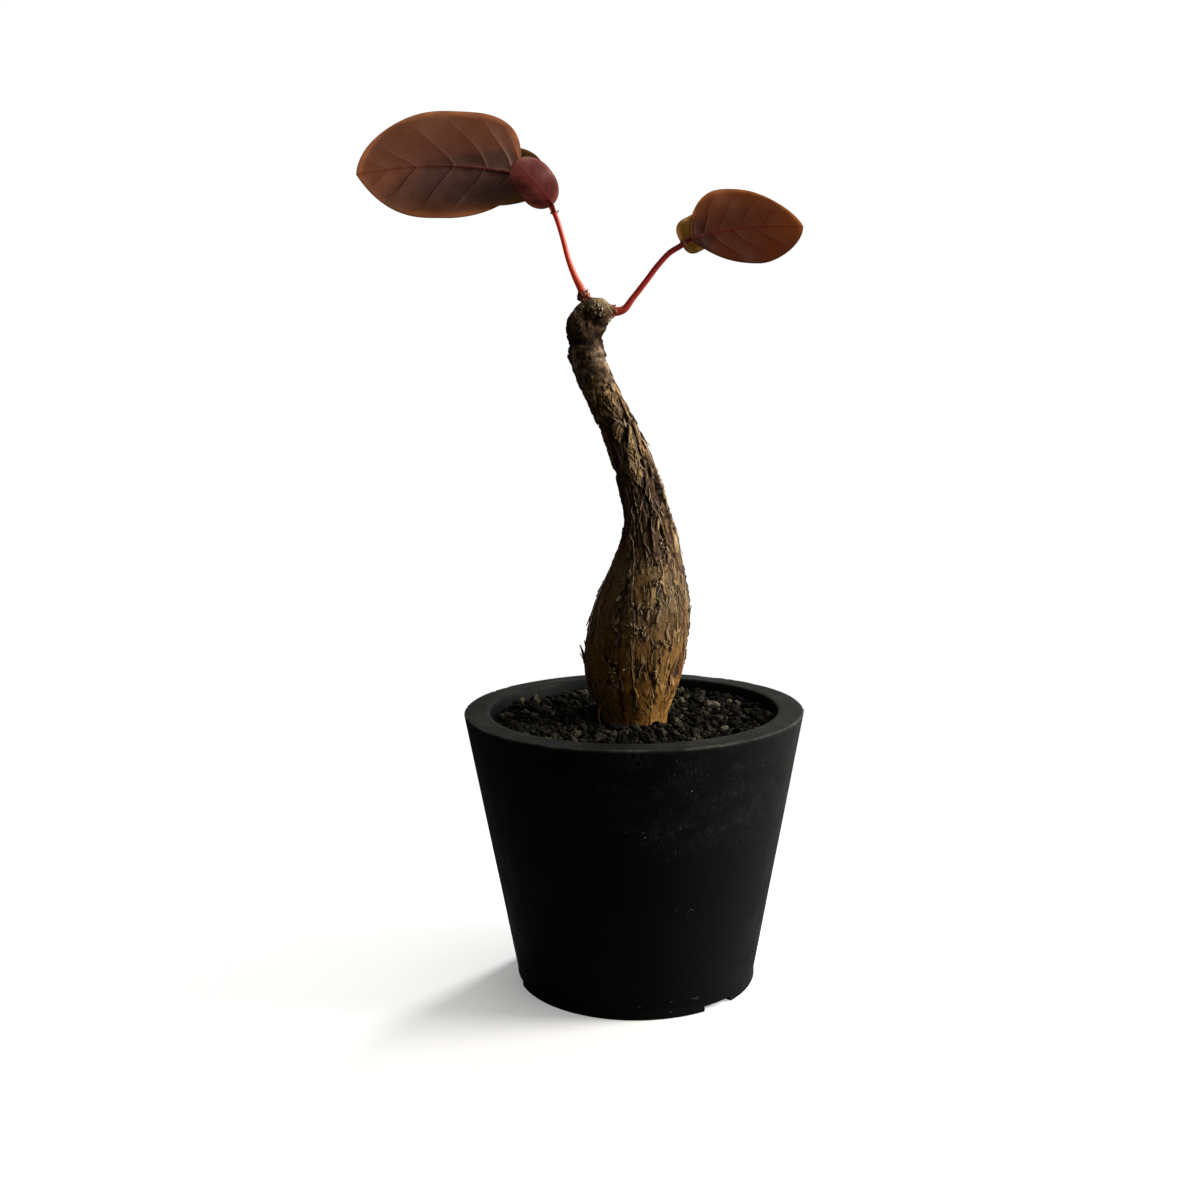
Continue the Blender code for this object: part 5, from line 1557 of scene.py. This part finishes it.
def add_curl(heap, degrees, z, scatter, draw):
    """A small rolled strip of peeling bark."""
    angle = math.radians(degrees + draw.gauss(0, 2.6 * scatter))
    foot = stem_point(angle, z + draw.gauss(0, 0.45 * scatter), 0.05)
    outward = Vector(at_angle(angle))
    side = Matrix.Rotation(draw.uniform(0, math.tau), 3, outward) @ Vector((0, 0, 1))
    size, turns = draw.uniform(0.24, 0.46), draw.uniform(0.65, 0.95)
    path = []
    for i in range(CURL_STEPS + 1):
        arc = math.tau * turns * (i / CURL_STEPS)
        path.append(foot + side * size * math.sin(arc) + outward * size * (1 - math.cos(arc)) * 0.6)
    radii = [0.2 * (1 - 0.4 * abs(2 * i / CURL_STEPS - 1)) for i in range(CURL_STEPS + 1)]
    # Paler curls are partly their own pale bark and partly painted highlight
    pale, dark = 0.1 + 0.45 * draw.random() ** 2, 0.5 * draw.random()
    heap.add(*tube(path, radii, 6), pale=pale, dark=dark, plate=draw.random())


def make_strands():
    """The edges of peeling plates beside gaps of painted shade, small bright curls on the belly, a dark spur
    and a fine root.
    """
    draw = random.Random(SEED + 2)
    heap = Heap("pale", "dark", "plate")
    for line, gap_side in SEAMS:
        add_seam(heap, line, gap_side, SEAM_SIZE, draw)
    # The strip is pale as painted highlight where the belly's left side catches light
    add_seam(heap, HIGHLIGHT_STRIP, 1, HIGHLIGHT_STRIP_SIZE, draw, pale=0.9)
    for line, size in TORN_EDGES:
        add_torn_edge(heap, line, size)
    add_chance_seams(heap, draw)
    for degrees, z, count, scatter in CURLS:
        for _ in range(count):
            add_curl(heap, degrees, z, scatter, draw)
    # The spur's strip is dark as painted shade along the left outline
    for course, thick, dark in ((FINE_ROOT, 0.3, 0.3), (SPUR, 0.42, 0.9), (SPUR_STRIP, 0.4, 0.85)):
        radii = []
        for i in range(STRAND_STEPS + 1):
            radii.append(thick * (1 - 0.55 * i / STRAND_STEPS) * (1 + 0.3 * rough(i * 0.7, thick, 0.0)))
        path = along_curve(course, STRAND_STEPS)
        heap.add(*tube(path, radii, 8), pale=0.12 * (1 - dark), dark=dark, plate=0.6)
    dress(heap.piece("bark_strands"), flake_material(), "caudex")


# Branchlets


def make_branchlet(branchlet):
    """A thin bent stem with a slight swelling where a leaf leaves it, and its stipules."""
    steps, sides = 64, 24
    stations = list(enumerate(branchlet.radii))
    thick = []
    for i in range(steps + 1):
        where = (len(stations) - 1) * i / steps
        thick.append(between(stations, where)[0] * (1 + 0.03 * rough(i * 0.12, 3.0, 0.0)))
    points, faces = tube(along_curve(branchlet.stem, steps), thick, sides)
    heap = Heap("run")
    heap.add(points, faces, run=np.repeat(np.linspace(0, 1, steps + 1), sides))
    draw = random.Random(SEED + 3)
    for place, along, outward in branchlet.stipules:
        for _ in range(3):
            way = Vector(along) + any_way(draw, 0.35)
            size = draw.uniform(0.5, 0.9)
            made = sheet(Vector(place), way, Vector(outward), size, 0.5, 0.15, 0.1, 0.16, draw, 6, 5)
            heap.add(*made, run=0.0)
    material = skin_material(branchlet.skin, *branchlet.colours)
    dress(heap.piece(branchlet.name + "_skin"), material, branchlet.node)


def make_bud_scales():
    """Pointed scales and stubs in a ragged collar round the foot of each branchlet."""
    draw = random.Random(SEED + 4)
    heap = Heap("run")
    crumbs = [lump(draw, 3) for _ in range(6)]
    for stem in (LEFT_BRANCHLET, RIGHT_BRANCHLET):
        foot, after = Vector(stem[0]), Vector(stem[1])
        along = (after - foot).normalized()
        side = along.cross(Vector((0.0, 1.0, 0.0))).normalized()
        for i in range(BUD_SCALES):
            turn = math.tau * (i / BUD_SCALES + draw.uniform(-0.02, 0.02))
            outward = Matrix.Rotation(turn, 3, along) @ side
            place = after - along * draw.uniform(0.6, 2.2) + outward * draw.uniform(0.7, 1.3)
            way = along + outward * draw.uniform(0.0, 0.4)
            length, width, lift = draw.uniform(0.8, 1.4), draw.uniform(1.2, 1.8), draw.uniform(0.0, 0.2)
            made = sheet(place, way, outward, length, width, lift, 0.2, 0.4, draw, 7, 5)
            heap.add(*made, run=draw.uniform(0.0, 1.0))
        for _ in range(BUD_CRUMBS):
            outward = Matrix.Rotation(draw.uniform(0.0, math.tau), 3, along) @ side
            place = after - along * draw.uniform(0.2, 2.4) + outward * draw.uniform(0.7, 1.6)
            points, faces = draw.choice(crumbs)
            heap.add(points * draw.uniform(0.26, 0.5) + place, faces, run=draw.uniform(0.0, 0.9))
    dress(heap.piece("bud_scales"), scale_material(), "caudex")


# Leaves


def half_of(leaf, t):
    """The half of a blade above its midrib, where t is over 0, or below it."""
    return leaf.upper if t > 0 else leaf.lower


def length_of(leaf):
    return (Vector(leaf.tip) - Vector(leaf.base)).length


def half_width(half, s):
    """The half width of a blade at a place along its midrib, from 0 at the base to 1 at the tip."""
    if s < half.widest:
        share = (1 - ((half.widest - s) / half.widest) ** half.base_power) ** half.base_root
    else:
        share = (1 - ((s - half.widest) / (1 - half.widest)) ** half.tip_power) ** half.tip_root
    return half.width * share


def blade_ends(half, share):
    """The two places along the midrib where a half blade has this share of its greatest width."""
    base = (1 - share ** (1 / half.base_root)) ** (1 / half.base_power)
    tip = (1 - share ** (1 / half.tip_root)) ** (1 / half.tip_power)
    return half.widest * (1 - base), half.widest + (1 - half.widest) * tip


def blade_place(leaf, u, t):
    """The place along the midrib and the reach to the side of a point of the blade's grid."""
    half = half_of(leaf, t)
    first, last = blade_ends(half, END_SHARE * abs(t))
    edge_first, edge_last = blade_ends(half, END_SHARE)
    reach = t * half_width(half, edge_first + (edge_last - edge_first) * u)
    return first + (last - first) * u, reach


def vein_offsets(leaf, s, t):
    """The distance to the nearest side vein, in millimetres, and the place between two veins from 0 to 1."""
    lines = []
    for start, sweep in leaf.upper_veins if t > 0 else leaf.lower_veins:
        straight = min(0.3 + 0.9 * start, 0.95)
        bend = straight * abs(t) + (1 - straight) * t * t
        lines.append(start + sweep * bend + 0.006 * math.sin(9.0 * abs(t) + 40.0 * start))
    nearest = min(abs(s - line) for line in lines)
    lower = max([line for line in lines if line <= s], default=lines[0] - 0.15)
    higher = min([line for line in lines if line > s], default=lines[-1] + 0.2)
    if s > lines[-1]:
        higher = max(higher, lines[-1] + 0.2)
    return nearest * length_of(leaf) * 0.8, (s - lower) / max(higher - lower, 0.01)


def blade_point(leaf, u, t):
    """A point of the blade's middle surface, its place along the midrib, and its reach to the side."""
    base, tip = Vector(leaf.base), Vector(leaf.tip)
    chord = (tip - base) * Vector((1.0, 0.0, 1.0))
    across = Vector((-chord.z, 0.0, chord.x)).normalized()
    if across.z < 0:
        across.negate()
    s, reach = blade_place(leaf, u, t)
    bulge = 4 * s * (1 - s)
    point = base.lerp(tip, s) + across * (leaf.bow * bulge + reach)
    share = reach / half_of(leaf, t).width
    wave = math.sin(math.tau * (EDGE_WAVES * s + EDGE_WAVE_SLANT * t)) * share * share
    point.y += leaf.lean * reach + leaf.cup * share * share + leaf.arch * bulge + EDGE_WAVE * wave
    point.y += 0.1 * noise.noise(point / 3.0)
    return point, s, reach


def rim_distance(leaf, u, t):
    """Roughly how far a point is from the blade's outline, in millimetres."""
    to_side = (1 - abs(t)) * half_of(leaf, t).width
    return min(to_side, min(u, 1 - u) * length_of(leaf) * (0.35 + 0.65 * (1 - abs(t))))


def depth_inside(leaf, point):
    """How far inside the outline of a leaf a point lies as seen along Y, in millimetres, or below 0."""
    base, tip = Vector(leaf.base), Vector(leaf.tip)
    chord = Vector((tip.x - base.x, tip.z - base.z))
    apart = Vector((point.x - base.x, point.z - base.z))
    s = apart.dot(chord) / chord.length_squared
    if not 0.0 < s < 1.0:
        return -1.0
    across = Vector((-chord.y, chord.x)).normalized()
    if across.y < 0:
        across.negate()
    reach = apart.dot(across) - leaf.bow * 4 * s * (1 - s)
    return half_width(half_of(leaf, reach), s) - abs(reach)


def blade_values(leaf, point, s, t, rib, vein, rim):
    """The values that the finish of a blade needs at a point, in the order of BLADE_KEYS."""
    top = ramp(t, -0.5, 0.4)
    # The edge's glow, painted light along the outline, is full on the upper edge and weaker below
    glow = top + 0.5 * leaf.low_glow * (1 - top)
    edge = (1 - ramp(rim, 0.0, max(0.15 * leaf.upper.width, 1.2))) * glow
    line = 0.6 * (1 - ramp(rim, 0.0, 0.3))
    # Painted light on the low edge, which faces down, away from the light
    low_edge = leaf.low_glow * ramp(-t, 0.55, 0.9)
    to_tip = s - 0.25 * (1 - leaf.low_glow) * ramp(-t, 0.0, 0.9)
    warm = max(ramp(to_tip, 0.5, 1.0), ramp(t, 0.2, 0.9), low_edge)
    # foot: the base's tone, painted light on the maroon and rust leaves, strongest above the midrib where the
    # leaf behind shades it
    foot = (1 - ramp(s, 0.02, 0.24)) * (1 - 0.8 * ramp(abs(t), 0.3, 0.9))
    foot *= 0.25 + 0.75 * ramp(t, -0.05, 0.05)
    # Painted shadow below the midrib where a leaf behind lies
    veiled = 0.0
    for other in LEAVES:
        if other.under > 0 and leaf.veil > 0:
            inside = ramp(depth_inside(other, point), -0.2, 0.9) * ramp(-t, -0.03, 0.06)
            veiled = max(veiled, leaf.veil * inside)
    red_rib = rib * (1 - 0.5 * ramp(s, 0.5, 1.0))
    high = 1.0 if t > 0 else 0.0
    return red_rib, vein, edge, line, high, warm, low_edge, foot, veiled


def make_leaf(leaf):
    """A thin closed blade: smooth puckered upper side, and an underside with a raised midrib and veins."""
    rows, columns = leaf.cells[0] + 1, leaf.cells[1] + 1
    below, above = np.zeros((2, rows, columns, 3))
    values = np.zeros((rows, columns, len(BLADE_KEYS)))
    small = min(leaf.upper.width / RELIEF_WIDTH, 1.0) ** 2
    for i, j in product(range(rows), range(columns)):
        u, t = i / (rows - 1), 2 * j / (columns - 1) - 1
        point, s, reach = blade_point(leaf, u, t)
        off, phase = vein_offsets(leaf, s, t)
        rib = math.exp(-((reach / (MIDRIB_WIDTH * (1.05 - 0.7 * s))) ** 2))
        slim = VEIN_WIDTH * (1.25 - 0.7 * abs(t))
        vein = math.exp(-((off / slim) ** 2)) * (1 - ramp(abs(t), 0.55, 0.95)) * (1 - ramp(s, 0.7, 1.0))
        rim = rim_distance(leaf, u, t)
        dome = math.sin(math.pi * min(max(phase, 0.0), 1.0))
        dome = dome * ramp(rim, 0.2, 3.0) * ramp(abs(reach), 0.0, 1.5)
        lift = small * (0.34 * rib + 0.12 * vein)
        body = BLADE_HALF_THICKNESS * (0.55 + 0.45 * ramp(rim, 0.0, 0.8))
        middle = point.y - leaf.under * PUCKER * dome * small
        below[i, j] = (point.x, middle + leaf.under * (body + lift), point.z)
        above[i, j] = (point.x, middle - leaf.under * (body - 0.35 * lift), point.z)
        values[i, j] = blade_values(leaf, point, s, t, rib, vein, rim)
    below_first = (leaf.under > 0) != (leaf.tip[0] > leaf.base[0])
    points, faces = shell(*((below, above) if below_first else (above, below)))
    twice = {key: np.tile(values[..., k].ravel(), 2) for k, key in enumerate(BLADE_KEYS)}
    heap = Heap("under", *BLADE_KEYS)
    heap.add(points, faces, under=np.repeat([below_first, not below_first], rows * columns), **twice)
    add_petiole(heap, leaf)
    material = leaf_material(leaf.slot + " blade", LEAF_TONES[leaf.slot])
    dress(heap.piece(leaf.node + "_blade"), material, leaf.node)


def add_petiole(heap, leaf):
    """The short stalk, which runs into the raised midrib."""
    shift = Vector((0.0, leaf.under * 0.2, 0.0))
    inside = [blade_point(leaf, share, 0.0)[0] + shift for share in (0.015, 0.06, 0.12)]
    path = along_curve([*map(Vector, leaf.petiole), *inside], 24)
    radii = [leaf.petiole_radius * (1 - 0.45 * i / 24) for i in range(25)]
    heap.add(*tube(path, radii, 16), under=1.0, **{**dict.fromkeys(BLADE_KEYS, 0.0), "rib": 1.0})


# Dust on the pot


def wall_point(angle, z):
    """A point of the pot's wall, with the angle in degrees."""
    share = (z - FOOT_BAND) / (POT_HEIGHT - RIM_EDGE - FOOT_BAND)
    low = FOOT_RADIUS + FOOT_BAND_STEP
    radius = low + (RIM_RADIUS - low) * share if z > FOOT_BAND else FOOT_RADIUS
    return Vector(at_angle(math.radians(angle), radius, z))


def make_dust():
    """Specks of dust on the pot's wall and scuffs at its foot, and the thin flash at a notch."""
    draw = random.Random(SEED + 5)
    heap = Heap("grain")
    shapes = [lump(draw, 2) for _ in range(8)]
    specks = [(math.radians(angle), z, size) for angle, z, size in MARKS]
    for _ in range(FRONT_SPECKS):
        size = 0.03 + 0.07 * draw.random() ** 3
        specks.append((math.radians(draw.gauss(-66, 20)), draw.uniform(40.0, 69.0), size))
    for _ in range(SPECKS_ROUND):
        specks.append((draw.uniform(0, math.tau), draw.uniform(4.0, 69.0), 0.03 + 0.05 * draw.random()))
    for angle, z, size in specks:
        outward = Vector(at_angle(angle))
        side = Vector((-math.sin(angle), math.cos(angle), 0.0))
        slip = draw.uniform(0.7, 1.6)
        shape = Matrix((side * size * slip, outward * 0.05, Vector((0, 0, size / slip))))
        add_lump(heap, draw.choice(shapes), shape, wall_point(math.degrees(angle), z), grain=1.0)
    for places, width in SCRATCHES:
        steps = 6 * (len(places) - 1)
        path = along_curve([wall_point(angle, z) for angle, z in places], steps)
        radii = [width * math.sin(math.pi * (i + 1) / (steps + 2)) ** 0.5 for i in range(steps + 1)]
        heap.add(*tube(path, radii, 6), grain=0.0)
    for angle, z, size in (RIM_NIB, FLASH):
        points, faces = draw.choice(shapes)
        heap.add(points * size + np.array(wall_point(angle, z)), faces, grain=0.0)
    dress(heap.piece("pot_dust"), dust_material(), "pot")


# Studio


def make_camera():
    """The photograph's camera, level but for its pitch and a small roll."""
    data = bpy.data.cameras.new("camera")
    data.lens = CAMERA_LENS
    data.sensor_width = CAMERA_SENSOR
    data.clip_start = 0.01
    data.clip_end = 20.0
    turn = Matrix.Rotation(math.pi / 2 - CAMERA_PITCH, 4, "X") @ Matrix.Rotation(-CAMERA_ROLL, 4, "Z")
    camera = show("camera", data)
    camera.matrix_world = Matrix.Translation((CAMERA_PLACE + AXIS) * MM) @ turn
    bpy.context.scene.camera = camera


def make_world():
    """Daylight that is strong from behind and from the right, and weak from the front and the left."""
    world = bpy.data.worlds.new("studio")
    bpy.context.scene.world = world
    made = Nodes(world)
    ways = {0: made.node("TexCoord").outputs["Generated"], 1: BRIGHT_SIDE.normalized()}
    strength = made.number("VectorMath", ways, "Value", operation="DOT_PRODUCT").spread(0.0, 0.95, 0.066, 1.3)
    light = made.node("Background", {"Color": (1.0, 0.985, 0.93, 1), "Strength": strength})
    backdrop = made.node("Background", {"Color": (1, 1, 1, 1), "Strength": 1.0})
    seen = made.number("LightPath", output="Is Camera Ray")
    made.node("OutputWorld", {"Surface": made.node("MixShader", {0: seen, 1: light, 2: backdrop})})


def area_light(name, place, target, size, power, colour=(1.0, 1.0, 1.0), glossy=True):
    """A round window at a place in metres that lights a target."""
    data = bpy.data.lights.new(name, "AREA")
    data.shape = "DISK"
    data.size = size
    data.energy = power
    data.color = colour
    light = show(name, data)
    light.location = place
    light.visible_glossy = glossy
    light.rotation_mode = "QUATERNION"
    light.rotation_quaternion = (Vector(target) - Vector(place)).to_track_quat("-Z", "Y")


def make_floor():
    """A pale floor that fades into the backdrop round the object."""
    bm = bmesh.new()
    bmesh.ops.create_circle(bm, cap_ends=True, segments=128, radius=FLOOR_RADIUS)
    floor = show("floor", bmesh_data("floor", bm))
    made = material_nodes("pale floor")
    seen = made.number("LightPath", output="Is Camera Ray")
    tiles = made.blend((0.88, 0.88, 0.875, 1), (made.cloud(60.0), (0.91, 0.91, 0.905, 1)))
    matte = made.surface(made.blend((0.3, 0.3, 0.3, 1), (seen, tiles)), 0.9, 0.1)
    place = made.node("TexCoord").outputs["Object"]
    fade = made.number("VectorMath", {0: place}, "Value", operation="LENGTH").spread(*FLOOR_FADE)
    clear = made.node("BsdfTransparent")
    floor.data.materials.append(made.finish(made.node("MixShader", {0: fade, 1: matte, 2: clear})))


def make_studio():
    bpy.context.scene.view_settings.view_transform = "Standard"
    make_camera()
    make_world()
    make_floor()
    warm = (1.0, 0.975, 0.92)
    area_light("window", (0.64, -0.05, 0.38), (0.0, 0.0, 0.11), size=0.34, power=9.8, colour=warm)
    area_light("back_window", (0.45, 0.80, 0.52), (0.0, 0.0, 0.17), size=0.2, power=15.0, glossy=False)


def main():
    make_studio()
    make_pot()
    make_dust()
    grit = grit_material()
    make_bed(grit)
    make_grit(grit)
    make_caudex()
    make_flakes()
    make_strands()
    make_bud_scales()
    for branchlet in BRANCHLETS:
        make_branchlet(branchlet)
    for leaf in LEAVES:
        make_leaf(leaf)
    bpy.context.view_layer.update()


main()
